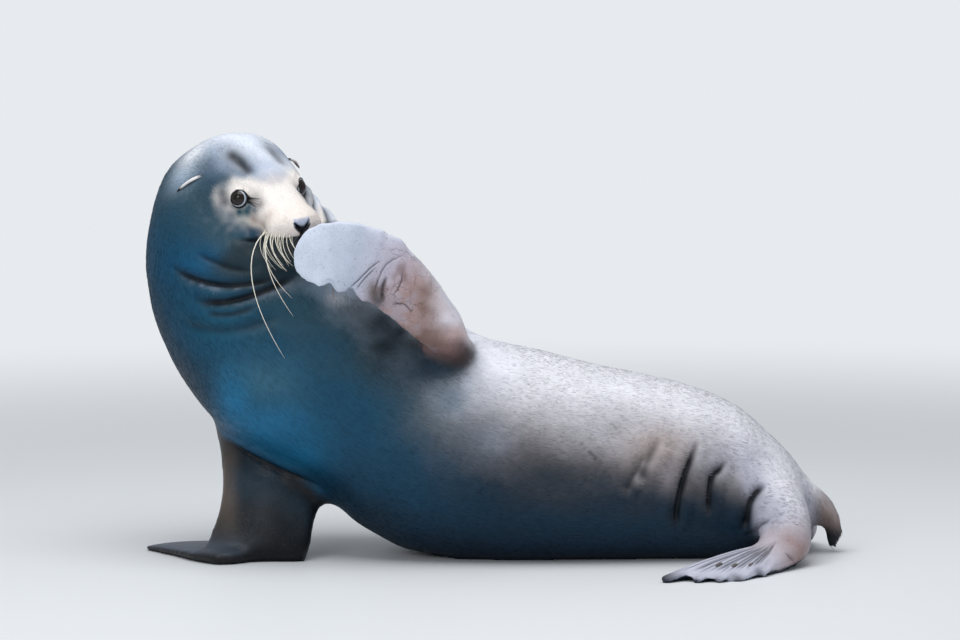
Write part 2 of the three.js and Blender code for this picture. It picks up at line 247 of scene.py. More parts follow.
def relaxed(points: Array, edges: Array, share: Array, rounds: int) -> Array:
    """Points drawn towards the mean of their neighbours, round after round.

    Args:
        points: values at the vertices, one row for each.
        edges: pairs of vertices.
        share: how far each vertex goes towards the mean in one round.
        rounds: how many rounds.

    Returns:
        The relaxed rows.
    """
    points = points.copy()
    count = len(points)
    first, second = edges.T
    neighbours = np.maximum(np.bincount(edges.ravel(), minlength=count), 1)
    for _ in range(rounds):
        for axis in range(points.shape[1]):
            values = points[:, axis]
            total = np.bincount(first, values[second], count)
            total += np.bincount(second, values[first], count)
            points[:, axis] += share * (total / neighbours - values)
    return points


def tree_of(piece: bpy.types.Object) -> BVHTree:
    """A search tree of a piece's own mesh."""
    corners = [tuple(vertex.co) for vertex in piece.data.vertices]
    return BVHTree.FromPolygons(corners, [tuple(face.vertices) for face in piece.data.polygons])


def nearest_on(tree: BVHTree, points: Array) -> Array:
    """The place on the tree's mesh that is nearest to each point."""
    return np.array([tree.find_nearest(Vector(point))[0] for point in points])


def select_only(piece: bpy.types.Object) -> None:
    """Makes the piece the one selected, active object."""
    bpy.ops.object.select_all(action="DESELECT")
    piece.select_set(True)
    bpy.context.view_layer.objects.active = piece


def new_piece(name: str, data: bpy.types.ID) -> bpy.types.Object:
    """An object for a mesh, a lamp or a camera, in the scene."""
    piece = bpy.data.objects.new(name, data)
    bpy.context.scene.collection.objects.link(piece)
    return piece


def mesh_from(name: str, points: Array, faces: Array) -> bpy.types.Mesh:
    """A mesh from arrays of points and of faces that all have the same number of corners.

    Args:
        name: the mesh's name.
        points: its vertices.
        faces: a row of vertex numbers for each face.

    Returns:
        The mesh.
    """
    mesh = bpy.data.meshes.new(name)
    corners = faces.shape[1]
    mesh.vertices.add(len(points))
    mesh.vertices.foreach_set("co", points.astype(np.float32).ravel())
    mesh.loops.add(faces.size)
    mesh.loops.foreach_set("vertex_index", faces.astype(np.int32).ravel())
    mesh.polygons.add(len(faces))
    mesh.polygons.foreach_set("loop_start", np.arange(len(faces), dtype=np.int32) * corners)
    mesh.update(calc_edges=True)
    mesh.validate()
    return mesh


def shade_smooth(piece: bpy.types.Object) -> None:
    """Smooth shading on every face."""
    piece.data.polygons.foreach_set("use_smooth", np.ones(len(piece.data.polygons), bool))
    piece.data.update()


def ring_faces(rings: int, spokes: int) -> Array:
    """The quads between rings of points that follow one another, each ring closed.

    Args:
        rings: how many rings there are.
        spokes: how many points each ring has.

    Returns:
        The quads, by the numbers of their points.
    """
    row, column = np.meshgrid(np.arange(rings - 1), np.arange(spokes), indexing="ij")
    after = (column + 1) % spokes
    start, end = row * spokes, (row + 1) * spokes
    return np.stack([start + column, start + after, end + after, end + column], -1).reshape(-1, 4)


def closed_mesh(name: str, points: Array, faces: Array, rings: int, spokes: int) -> bpy.types.Mesh:
    """A mesh of rings closed by a point at each end; those two points come last in the list.

    Args:
        name: the mesh's name.
        points: the rings' points in order, then the two end points.
        faces: the quads between the rings.
        rings: how many rings there are.
        spokes: how many points each ring has.

    Returns:
        The mesh.
    """
    first, last = rings * spokes, rings * spokes + 1
    column = np.arange(spokes)
    after = (column + 1) % spokes
    start = np.stack([np.full(spokes, first), after, column], 1)
    below = (rings - 1) * spokes
    end = np.stack([np.full(spokes, last), below + column, below + after], 1)
    mesh = bpy.data.meshes.new(name)
    mesh.from_pydata(points.tolist(), [], [*faces.tolist(), *start.tolist(), *end.tolist()])
    mesh.update()
    return mesh


def turn_outwards(piece: bpy.types.Object) -> None:
    """Closes the holes of a piece and turns every face outwards."""
    shape = bmesh.new()
    shape.from_mesh(piece.data)
    bmesh.ops.holes_fill(shape, edges=shape.edges, sides=0)
    bmesh.ops.recalc_face_normals(shape, faces=shape.faces)
    shape.to_mesh(piece.data)
    shape.free()


def tapered_tube(line: Array, radius: float, sides: int, tip: float = 0.12) -> tuple[Array, Array]:
    """The points and quads of a tube along a line, which ends at the tip's share of its radius.

    Args:
        line: the middle line.
        radius: the radius at the start.
        sides: how many sides it has.
        tip: the share of the radius that is left at the end.

    Returns:
        The tube's points, and its quads by their numbers.
    """
    heading = unit(np.gradient(line, axis=0))
    over = unit(np.cross(heading, [0.31, 0.90, 0.31]))
    aside = np.cross(heading, over)
    shares = np.linspace(0.0, 1.0, len(line))
    radii = radius * (1.0 - shares) ** 0.6 * (1.0 - tip) + radius * tip
    turns = np.arange(sides) * 2 * math.pi / sides
    spread = np.cos(turns)[None, :, None] * over[:, None] + np.sin(turns)[None, :, None] * aside[:, None]
    points = line[:, None] + spread * radii[:, None, None]
    return points.reshape(-1, 3), ring_faces(len(line), sides)


# ---------------------------------------------------------------- shader nodes


class Wire:
    """A shader socket that does arithmetic: each operator adds its Math node."""

    def __init__(self, kit: NodeKit, socket: bpy.types.NodeSocket) -> None:
        self.kit = kit
        self.socket = socket

    def _with(self, operation: str, *values: object) -> Wire:
        """The result of a Math node with this operation on the values."""
        node = self.kit.node("ShaderNodeMath", {"operation": operation}, dict(enumerate(values)))
        return Wire(self.kit, node.outputs[0])

    def __add__(self, other: object) -> Wire:
        """self + other."""
        return self._with("ADD", self, other)

    __radd__ = __add__

    def __mul__(self, other: object) -> Wire:
        """self * other."""
        return self._with("MULTIPLY", self, other)

    __rmul__ = __mul__

    def __sub__(self, other: object) -> Wire:
        """self - other."""
        return self._with("SUBTRACT", self, other)

    def __rsub__(self, other: object) -> Wire:
        """other - self."""
        return self._with("SUBTRACT", other, self)

    def step(self, low: float, high: float) -> Wire:
        """A soft step from 0 where self is low to 1 where it is high."""
        inputs = {"Value": self, "From Min": low, "From Max": high}
        node = self.kit.node("ShaderNodeMapRange", {"interpolation_type": "SMOOTHSTEP"}, inputs)
        return Wire(self.kit, node.outputs["Result"])


class NodeKit:
    """Builds one material's node tree."""

    def __init__(self, name: str) -> None:
        """Starts a material with a Principled surface."""
        self.material = bpy.data.materials.new(name)
        self.material.use_nodes = True
        self.tree = self.material.node_tree
        self.surface = self.tree.nodes["Principled BSDF"]

    def node(self, kind: str, settings: dict | None = None, inputs: dict | None = None) -> bpy.types.Node:
        """Adds a node.

        Args:
            kind: the node's type.
            settings: its properties, set first.
            inputs: values or wires by socket name or number.

        Returns:
            The node.
        """
        node = self.tree.nodes.new(kind)
        for key, value in (settings or {}).items():
            setattr(node, key, value)
        for key, value in (inputs or {}).items():
            self.feed(node.inputs[key], value)
        return node

    def feed(self, socket: bpy.types.NodeSocket, value: object) -> None:
        """Links a wire to a socket, or sets the socket's own value."""
        if isinstance(value, Wire):
            self.tree.links.new(value.socket, socket)
        else:
            socket.default_value = value

    def attribute(self, name: str, output: str = "Color") -> Wire:
        """What is stored on the mesh under the name."""
        node = self.node("ShaderNodeAttribute", {"attribute_name": name})
        return Wire(self, node.outputs[output])

    def split(self, colour: Wire) -> tuple[Wire, Wire, Wire]:
        """A colour's three channels."""
        node = self.node("ShaderNodeSeparateColor", {}, {"Color": colour})
        return tuple(Wire(self, output) for output in node.outputs[:3])

    def object_place(self) -> Wire:
        """The point in the object's own coordinates."""
        return Wire(self, self.node("ShaderNodeTexCoord").outputs["Object"])

    def stretched(self, vector: Wire, scale: Point) -> Wire:
        """The vector with each axis scaled."""
        node = self.node("ShaderNodeMapping", {}, {"Vector": vector, "Scale": scale})
        return Wire(self, node.outputs["Vector"])

    def noise(
        self, vector: Wire, scale: float, detail: float = 3.0, rough: float = 0.6, warp: float = 0.0
    ) -> Wire:
        """Fractal noise, about 0.5 on average."""
        inputs = {"Vector": vector, "Scale": scale, "Detail": detail, "Roughness": rough, "Distortion": warp}
        return Wire(self, self.node("ShaderNodeTexNoise", {}, inputs).outputs[0])

    def warped(self, vector: Wire, scale: float, amount: float) -> Wire:
        """The vector shifted by up to about the amount, smoothly and unevenly."""
        shift = self.node("ShaderNodeTexNoise", {}, {"Vector": vector, "Scale": scale, "Detail": 3.0})
        settings = {"operation": "MULTIPLY_ADD"}
        inputs = {0: Wire(self, shift.outputs["Color"]), 1: (amount, amount, amount), 2: vector}
        return Wire(self, self.node("ShaderNodeVectorMath", settings, inputs).outputs["Vector"])

    def cells(self, vector: Wire, scale: float) -> Wire:
        """The distance from the edges of a pattern of cells."""
        inputs = {"Vector": vector, "Scale": scale}
        node = self.node("ShaderNodeTexVoronoi", {"feature": "DISTANCE_TO_EDGE"}, inputs)
        return Wire(self, node.outputs["Distance"])

    def blend(self, share: object, first: object, second: object) -> Wire:
        """Colours first and second mixed by the share."""
        node = self.node("ShaderNodeMix", {"data_type": "RGBA"}, {0: share, 6: first, 7: second})
        return Wire(self, node.outputs[2])

    def blend_normals(self, share: object, first: Wire, second: Wire) -> Wire:
        """Normals first and second mixed by the share."""
        node = self.node("ShaderNodeMix", {"data_type": "VECTOR"}, {0: share, 4: first, 5: second})
        return Wire(self, node.outputs[1])

    def brightened(self, colour: object, factor: Wire) -> Wire:
        """The colour times a factor."""
        node = self.node("ShaderNodeVectorMath", {"operation": "SCALE"}, {0: colour, "Scale": factor})
        return Wire(self, node.outputs["Vector"])

    def bump(self, height: Wire, depth: float, strength: float = 1.0, under: Wire | None = None) -> Wire:
        """A normal raised by the height, where 1 stands the depth proud."""
        inputs = {"Height": height, "Distance": depth, "Strength": strength}
        if under:
            inputs["Normal"] = under
        return Wire(self, self.node("ShaderNodeBump", {}, inputs).outputs["Normal"])

    def finish(self, **sockets: object) -> bpy.types.Material:
        """Feeds the surface's sockets, named with underscores for spaces, and returns the material."""
        for key, value in sockets.items():
            self.feed(self.surface.inputs[key.replace("_", " ")], value)
        return self.material


# ---------------------------------------------------------------- anatomy


@dataclass(frozen=True)
class Places:
    """Where points lie around a track: how far along it, to its side and above it, and how it heads there."""

    along: Array
    aside: Array
    above: Array
    heading: Array

    def lie(self) -> Array:
        """The straightened coordinates, one row for each point."""
        return np.stack([self.along, self.aside, self.above], 1)


@dataclass(frozen=True)
class Track:
    """A smooth line through a body or limb, around which points have straightened coordinates."""

    waypoints: Line
    side: Point = (0.0, 1.0, 0.0)
    steps: int = 8

    def around(self, points: Array) -> Places:
        """The straightened coordinates of the points.

        Args:
            points: the points.

        Returns:
            Where each lies, seen from the nearest place on the line.
        """
        line = rounded_line(self.waypoints, self.steps)
        spans = np.diff(line, axis=0)
        lengths = np.linalg.norm(spans, axis=1)
        reached = np.append(0.0, np.cumsum(lengths))
        _, number, share = nearest_stretch(points, line)
        along = reached[number] + share * lengths[number]
        away = points - line[number] - share[:, None] * spans[number]
        headings = unit(spans)
        bends = np.vstack([headings[:1], unit(headings[1:] + headings[:-1]), headings[-1:]])
        heading = unit(mixed(bends[number], bends[number + 1], share))
        side = np.asarray(self.side, float)
        side = unit(side - heading * (heading @ side)[:, None])
        above = np.cross(heading, side)
        return Places(along, (away * side).sum(1), (away * above).sum(1), heading)


@dataclass(frozen=True)
class Head:
    """The head's own frame, worked out from the solids: x forward, y left and z up from between the eyes."""

    origin: Array
    axes: Array
    eye_radius: float
    eye_spacing: float

    @classmethod
    def from_solids(cls) -> Head:
        """Reads the frame off the eyes and the nose."""
        low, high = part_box("eye_left")
        names = ("eye_left", "eye_right", "nose")
        left_eye, right_eye, nose = (np.mean(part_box(name), axis=0) for name in names)
        origin = (left_eye + right_eye) / 2
        left = unit(left_eye - right_eye)
        forward = unit(nose - origin - left * ((nose - origin) @ left))
        axes = np.array([forward, left, np.cross(forward, left)])
        return cls(origin, axes, max(high - low) / 2, float(np.linalg.norm(left_eye - right_eye)))

    def local(self, points: Array) -> Array:
        """Points in the head's frame."""
        return (np.asarray(points) - self.origin) @ self.axes.T

    def world(self, points: Array) -> Array:
        """Points of the head's frame back in the model's frame."""
        return np.asarray(points) @ self.axes + self.origin

    def eye(self, side: Side) -> Point:
        """The centre of one side's eye, in the head's frame."""
        return (0.0, side.value * self.eye_spacing / 2, 0.0)


SPINE = Track(
    (
        (-0.472, -0.196, 0.606), (-0.535, -0.105, 0.650), (-0.588, -0.012, 0.668), (-0.600, 0.022, 0.610),
        (-0.583, 0.004, 0.540), (-0.540, 0.000, 0.450), (-0.450, 0.000, 0.345), (-0.310, 0.000, 0.250),
        (-0.120, 0.000, 0.182), (0.100, 0.000, 0.155), (0.304, 0.000, 0.124), (0.424, 0.000, 0.098),
        (0.474, 0.000, 0.020),
    )
)


@dataclass(frozen=True)
class Limb:
    """A flipper: its node, its track from root to tip, and where its bare skin begins."""

    node: str
    track: Track
    bare_from: float  # how far along it the fur has ended
    thin_from: float  # how far along it the flesh is thin


def mirrored_leg(points: Array | Line) -> Line:
    """The left leg's points carried to the right leg, which is shifted and leans forward."""
    lean, ahead, aside = 0.27, 0.046, 0.068
    return tuple((x - lean * z + ahead, -y - aside, z) for x, y, z in points)


LEFT_LEG = (
    (0.344, -0.058, 0.122), (0.374, -0.112, 0.092), (0.381, -0.150, 0.038), (0.334, -0.206, 0.016),
    (0.280, -0.262, 0.008), (0.200, -0.345, 0.004),
)

LIMBS = {
    "raised": Limb(
        "fore_flipper_left",
        Track(
            (
                (-0.240, -0.060, 0.340), (-0.214, -0.138, 0.388), (-0.250, -0.190, 0.442),
                (-0.306, -0.222, 0.506), (-0.356, -0.240, 0.541), (-0.412, -0.236, 0.552),
                (-0.486, -0.222, 0.540),
            ),
            side=(0.1, 0.08, 0.95),
        ),
        bare_from=0.04,
        thin_from=0.20,
    ),
    "propping": Limb(
        "fore_flipper_right",
        Track(
            (
                (-0.430, 0.084, 0.330), (-0.500, 0.026, 0.220), (-0.534, -0.046, 0.130),
                (-0.549, -0.086, 0.066), (-0.578, -0.088, 0.022), (-0.622, -0.052, 0.011),
                (-0.668, -0.014, 0.009), (-0.728, 0.016, 0.007), (-0.770, 0.028, 0.005),
            ),
            side=(-0.8, -0.6, 0.0),
        ),
        bare_from=0.13,
        thin_from=0.44,
    ),
    "left_leg": Limb("hind_flipper_left", Track(LEFT_LEG, side=(0.8, -0.6, 0.0)), 0.09, 0.20),
    "right_leg": Limb("hind_flipper_right", Track(mirrored_leg(LEFT_LEG), side=(0.8, 0.6, 0.0)), 0.09, 0.20),
}


def off_node(nodes: dict[str, bpy.types.Object], name: str, points: Array, reach: float = 0.02) -> Array:
    """How far points are from a solid's surface, worked out only within reach of it.

    Args:
        nodes: the solids by name.
        name: the solid's name.
        points: the points.
        reach: how far off the solid's box they are looked at.

    Returns:
        The distances, and 1 for points out of reach.
    """
    low, high = (np.array(corner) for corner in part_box(name))
    off = np.full(len(points), 1.0)
    inside = ((points > low - reach) & (points < high + reach)).all(1)
    tree = tree_of(nodes[name])
    off[inside] = [tree.find_nearest(Vector(point))[3] for point in points[inside]]
    return off


# ---------------------------------------------------------------- skin


@dataclass(frozen=True)
class Crease:
    """A groove along a line on the skin, with a roll of flesh on both sides and painted shade along its
    bottom.
    """

    points: Line
    width: float
    depth: float
    roll: float
    # how strong the painted shade along the groove's bottom is
    dark: float
    both_sides: bool = False  # of the head


# Grooves of the head, in its own frame.
HEAD_CREASES = (
    # brow furrow
    Crease(((-0.092, -0.044, 0.058), (-0.055, -0.037, 0.052), (-0.026, -0.034, 0.046),
        (0.004, -0.036, 0.037)), 0.0105, 0.0034, 0.0006, 0.75),
    Crease(((-0.062, -0.033, 0.053), (-0.04, -0.037, 0.05), (-0.02, -0.039, 0.045)),
        0.0035, 0.0016, 0.0004, 0.5),
    Crease(((-0.08, 0.04, 0.058), (-0.045, 0.038, 0.052), (-0.006, 0.04, 0.04)), 0.011, 0.0026, 0.0, 0.3),
    # mouth
    Crease(((0.126, 0.0, -0.031), (0.114, -0.026, -0.033), (0.09, -0.042, -0.043), (0.058, -0.056, -0.056),
        (0.036, -0.075, -0.064)), 0.0028, 0.0055, 0.0014, 1.0, True),
    Crease(((0.131, 0.0, -0.012), (0.131, 0.0, -0.02), (0.126, 0.0, -0.031)), 0.0024, 0.0036, 0.0008, 1.3),
    # nostril
    Crease(((0.122, -0.016, -0.001), (0.127, -0.0125, -0.005), (0.131, -0.0065, -0.012),
        (0.131, -0.002, -0.017)), 0.0024, 0.006, 0.001, 1.2, True),
    Crease(((0.02, -0.053, 0.033), (0.004, -0.059, 0.034), (-0.016, -0.07, 0.028)),
        0.0036, 0.0005, 0.0004, 0.05, True),
    Crease(((0.026, -0.064, -0.022), (0.012, -0.071, -0.027), (-0.01, -0.08, -0.02)),
        0.0036, 0.0005, 0.0004, 0.05, True),
)

# Folds of the neck, back, flank and flippers, in the model's frame.
BODY_CREASES = (
    # neck, left side
    Crease(((-0.666, -0.14, 0.552), (-0.63, -0.157, 0.538), (-0.6, -0.165, 0.527), (-0.55, -0.172, 0.519)),
        0.005, 0.0034, 0.0013, 0.5),
    Crease(((-0.712, -0.11, 0.53), (-0.68, -0.138, 0.512), (-0.64, -0.158, 0.5), (-0.598, -0.17, 0.496),
        (-0.545, -0.174, 0.503), (-0.5, -0.17, 0.518)), 0.0058, 0.007, 0.0022, 0.9),
    Crease(((-0.672, -0.146, 0.468), (-0.62, -0.168, 0.466), (-0.573, -0.177, 0.476),
        (-0.52, -0.175, 0.496), (-0.47, -0.16, 0.524)), 0.0068, 0.0078, 0.0024, 1.0),
    Crease(((-0.648, -0.158, 0.447), (-0.6, -0.173, 0.446), (-0.545, -0.178, 0.462)),
        0.0048, 0.003, 0.0011, 0.6),
    Crease(((-0.694, -0.118, 0.427), (-0.64, -0.16, 0.418), (-0.58, -0.178, 0.422),
        (-0.495, -0.182, 0.448)), 0.0085, 0.0036, 0.0013, 0.35),
    # throat, between the cheek and the raised flipper
    Crease(((-0.48, 0.02, 0.694), (-0.469, -0.05, 0.655), (-0.47, -0.1, 0.625), (-0.478, -0.13, 0.585)),
        0.006, 0.008, 0.0045, 0.9),
    Crease(((-0.466, 0.035, 0.68), (-0.456, -0.052, 0.632), (-0.455, -0.1, 0.59), (-0.462, -0.135, 0.55)),
        0.0045, 0.007, 0.004, 0.9),
    Crease(((-0.44, 0.04, 0.655), (-0.431, -0.044, 0.609), (-0.434, -0.095, 0.565)),
        0.005, 0.006, 0.0035, 0.8),
    # flank, left side
    Crease(((0.226, -0.138, 0.224), (0.208, -0.159, 0.184), (0.197, -0.165, 0.153), (0.189, -0.165, 0.121),
        (0.185, -0.158, 0.088), (0.186, -0.143, 0.052)), 0.0058, 0.0082, 0.003, 1.1),
    Crease(((0.276, -0.138, 0.187), (0.262, -0.149, 0.168), (0.249, -0.153, 0.157), (0.244, -0.155, 0.134),
        (0.244, -0.152, 0.107), (0.246, -0.143, 0.075)), 0.0054, 0.0068, 0.0026, 1.05),
    Crease(((0.158, -0.154, 0.232), (0.14, -0.17, 0.198), (0.128, -0.175, 0.172), (0.118, -0.178, 0.14)),
        0.008, 0.0042, 0.0024, 0.45),
    Crease(((0.134, -0.168, 0.208), (0.116, -0.177, 0.175), (0.102, -0.179, 0.151), (0.094, -0.178, 0.122)),
        0.006, 0.0026, 0.0016, 0.3),
    Crease(((0.006, -0.18, 0.23), (0.027, -0.183, 0.208), (0.043, -0.184, 0.191), (0.077, -0.182, 0.146)),
        0.0018, 0.001, 0.0003, 0.6),
    Crease(((0.06, -0.156, 0.261), (0.088, -0.166, 0.236), (0.122, -0.171, 0.206)),
        0.0016, 0.0008, 0.0003, 0.3),
    # flank and neck, right side
    Crease(((0.226, 0.138, 0.224), (0.204, 0.16, 0.176), (0.19, 0.165, 0.124), (0.192, 0.14, 0.055)),
        0.0042, 0.007, 0.003, 0.9),
    Crease(((0.276, 0.138, 0.187), (0.252, 0.153, 0.152), (0.244, 0.15, 0.095)),
        0.0038, 0.006, 0.0026, 0.9),
    Crease(((0.134, 0.168, 0.208), (0.114, 0.177, 0.168), (0.1, 0.178, 0.125)), 0.005, 0.0034, 0.0022, 0.4),
    Crease(((-0.69, 0.09, 0.53), (-0.65, 0.13, 0.505), (-0.59, 0.15, 0.49), (-0.52, 0.15, 0.5)),
        0.006, 0.0036, 0.0011, 0.4),
    # left hind flipper
    Crease(((0.346, -0.128, 0.14), (0.328, -0.133, 0.127), (0.316, -0.134, 0.108), (0.311, -0.129, 0.08),
        (0.303, -0.12, 0.05)), 0.0062, 0.008, 0.0026, 1.05),
    Crease(((0.306, -0.116, 0.044), (0.331, -0.131, 0.063), (0.353, -0.162, 0.083)),
        0.0035, 0.003, 0.0016, 0.6),
    Crease(((0.37, -0.228, 0.034), (0.381, -0.225, 0.024), (0.39, -0.214, 0.014)),
        0.0022, 0.0016, 0.001, 0.5),
    # chest, at the propping flipper
    Crease(((-0.622, -0.02, 0.212), (-0.564, -0.063, 0.186), (-0.51, -0.081, 0.16), (-0.438, -0.1, 0.13)),
        0.005, 0.0045, 0.0024, 0.8),
    Crease(((-0.6, -0.045, 0.2), (-0.552, -0.069, 0.172), (-0.501, -0.083, 0.146)),
        0.003, 0.0022, 0.0012, 0.4),
    # wrist and hand of the raised flipper
    Crease(((-0.288, -0.236, 0.556), (-0.322, -0.245, 0.54), (-0.338, -0.25, 0.512),
        (-0.345, -0.248, 0.486)), 0.0014, 0.0016, 0.0004, 0.6),
    Crease(((-0.33, -0.248, 0.548), (-0.352, -0.252, 0.532), (-0.372, -0.252, 0.512),
        (-0.392, -0.248, 0.494)), 0.0014, 0.0016, 0.0004, 0.8),
    Crease(((-0.34, -0.25, 0.536), (-0.362, -0.252, 0.514), (-0.378, -0.249, 0.492)),
        0.0014, 0.0014, 0.0003, 0.7),
    Crease(((-0.322, -0.246, 0.52), (-0.33, -0.247, 0.498), (-0.331, -0.243, 0.474)),
        0.0034, 0.0034, 0.0006, 0.8),
    Crease(((-0.296, -0.234, 0.53), (-0.3, -0.236, 0.506), (-0.314, -0.238, 0.482)),
        0.0013, 0.0014, 0.0003, 0.7),
    Crease(((-0.28, -0.222, 0.452), (-0.296, -0.23, 0.47), (-0.318, -0.238, 0.468)),
        0.0013, 0.0014, 0.0003, 0.7),
)


@dataclass(frozen=True)
class Toes:
    """The five toes of each hind flipper: where they lie, and the webs and the grooves between them."""

    ankle: Point = (0.372, -0.166, 0.038)
    tips: Line = (
        (0.146, -0.362, 0.004), (0.202, -0.364, 0.004), (0.240, -0.362, 0.004), (0.280, -0.342, 0.004),
        (0.320, -0.300, 0.004),
    )
    web_from: float = 0.42
    web_to: float = 0.93
    web_bow: float = 0.28  # how deep the web's edge is cut back, as a share of the web
    sole: float = 0.0008
    top: float = 0.012  # how far above the toes' middles their grooves are drawn
    grooves: tuple[tuple[float, ...], ...] = (
        (0.5, 0.16, 0.88, 0.003, 0.003),  # the share of the way across, start, end, width and depth
        (0.16, 0.26, 0.90, 0.0016, 0.001),
        (0.80, 0.20, 0.92, 0.0015, 0.0009),
    )
    web_heights: tuple[float, float] = (0.017, 0.0085)

    @staticmethod
    def on_leg(points: Array, leg: str) -> Array:
        """Points of the left foot, or the same points of the right one."""
        points = np.asarray(points, float)
        return points if leg == "left_leg" else np.array(mirrored_leg(points))

    def between(self, first: int, share: float, along: float) -> Array:
        """A point between two toes, a share of the way across and so far along them."""
        tip = np.array(self.tips[first]) * (1 - share) + np.array(self.tips[first + 1]) * share
        return np.array(self.ankle) * (1 - along) + tip * along

    def gaps(self) -> list[tuple[str, int]]:
        """Each leg's gaps between two toes, by the number of the first of them."""
        return [(leg, first) for leg in ("left_leg", "right_leg") for first in range(len(self.tips) - 1)]

    def add_webs(self, shape: bmesh.types.BMesh) -> None:
        """Adds a thin web between each two toes, cut back in a bow at its edge."""
        for leg, first in self.gaps():
            self._add_web(shape, leg, first)

    def _add_web(self, shape: bmesh.types.BMesh, leg: str, first: int, steps: int = 6) -> None:
        """Adds the web behind one toe as a closed wedge.

        Args:
            shape: the mesh that takes the web.
            leg: the leg's key.
            first: the number of the toe.
            steps: how many times the web is cut across.
        """
        across = np.linspace(0.0, 1.0, steps)
        reach = self.web_to - self.web_bow * (self.web_to - self.web_from) * np.sin(math.pi * across)
        rings = []
        for i, share in enumerate(across):
            back = self.between(first, share, self.web_from)
            front = self.between(first, share, reach[i])
            tall = np.interp(reach[i], [self.web_from, self.web_to], self.web_heights)
            ring = np.array([back, front, front, back])
            ring[:, 2] = [self.web_heights[0], tall, self.sole, self.sole]
            rings.append([shape.verts.new(point) for point in self.on_leg(ring, leg)])
        for before, after in zip(rings, rings[1:], strict=False):
            for i in range(4):
                j = (i + 1) % 4
                shape.faces.new((before[i], before[j], after[j], after[i]))
        shape.faces.new(rings[0][::-1])
        shape.faces.new(rings[-1])

    def creases(self) -> list[Crease]:
        """The grooves between the toes and the fine lines along them, from the heel out."""
        lines = []
        for leg, first in self.gaps():
            for share, start, end, width, depth in self.grooves:
                points = [self.between(first, share, along) for along in np.linspace(start, end, 5)]
                points = self.on_leg(np.array(points) + [0.0, 0.0, self.top], leg)
                lines.append(Crease(tuple(map(tuple, points)), width, depth, 0.3 * depth, 0.75))
        return lines


@dataclass(frozen=True)
class Mound:
    """A soft swelling, or a hollow when its height is negative, on both sides of the head."""

    at: Point
    reach: float
    height: float


@dataclass(frozen=True)
class Pull:
    """A pull on the flesh around a point, as at a notch in a flipper's edge."""

    at: Point
    by: Point
    reach: float


HAND_PULLS = (
    # notch beside the first lobe
    Pull((-0.424, -0.241, 0.5), (0.002, 0.0, 0.015), 0.008),
    Pull((-0.452, -0.232, 0.506), (-0.004, 0.0, 0.004), 0.016),
    Pull((-0.405, -0.243, 0.49), (-0.002, 0.0, -0.005), 0.01),
    Pull((-0.386, -0.246, 0.489), (0.002, 0.0, 0.012), 0.0065),
    Pull((-0.366, -0.246, 0.48), (0.0, 0.0, -0.005), 0.011),
    # dip at the wrist's upper edge
    Pull((-0.323, -0.239, 0.586), (-0.001, 0.0, -0.007), 0.009),
    Pull((-0.296, -0.23, 0.578), (0.001, 0.0, 0.005), 0.016),
)

HEAD_MOUNDS = (
    # whisker pads
    Mound((0.1, 0.034, -0.022), 0.02, 0.005),
    # middle of the upper lip
    Mound((0.122, 0.01, -0.028), 0.012, 0.0016),
    # brow over the eye
    Mound((0.02, 0.054, 0.034), 0.02, 0.003),
    # forehead
    Mound((-0.04, 0.0, 0.062), 0.04, 0.003),
    # hollow before the eye
    Mound((0.06, 0.052, -0.02), 0.018, -0.0022),
    # bridge of the nose
    Mound((0.084, 0.0, 0.024), 0.022, -0.0016),
)


@dataclass(frozen=True)
class Lids:
    """The opening between the lids and the rim around it, in angles seen from the eye's centre."""

    gaze: Point = (0.66, -0.69, 0.30)  # of the right eye, in the head's frame
    opening: float = math.radians(43.5)
    tall: float = math.radians(4.5)  # how much further it reaches up and down
    corner: float = math.radians(15)  # how much further it reaches towards the nose
    back_corner: float = math.radians(3)
    rim: float = 0.0020  # how proud of the eyeball the rim stands
    under: float = 0.0030  # how far below the eyeball's surface the skin is led
    fade: float = math.radians(36)
    reach: float = 0.05  # how far from the eye's centre the skin is moved
    clear: float = 0.0003  # how far off the eyeball the lids' edge lies
    snap: float = 0.00062  # how near the lids' edge the vertices are drawn onto it

    def width(self, around: Array) -> Array:
        """The opening's half angle at an angle around the gaze, where 0 is towards the nose."""
        nose = bell(around + 0.38, 0.36)
        back = bell(np.abs(around) - math.pi, 0.5)
        up_and_down = self.tall * np.sin(around) ** 2
        return self.opening + up_and_down + self.corner * nose + self.back_corner * back


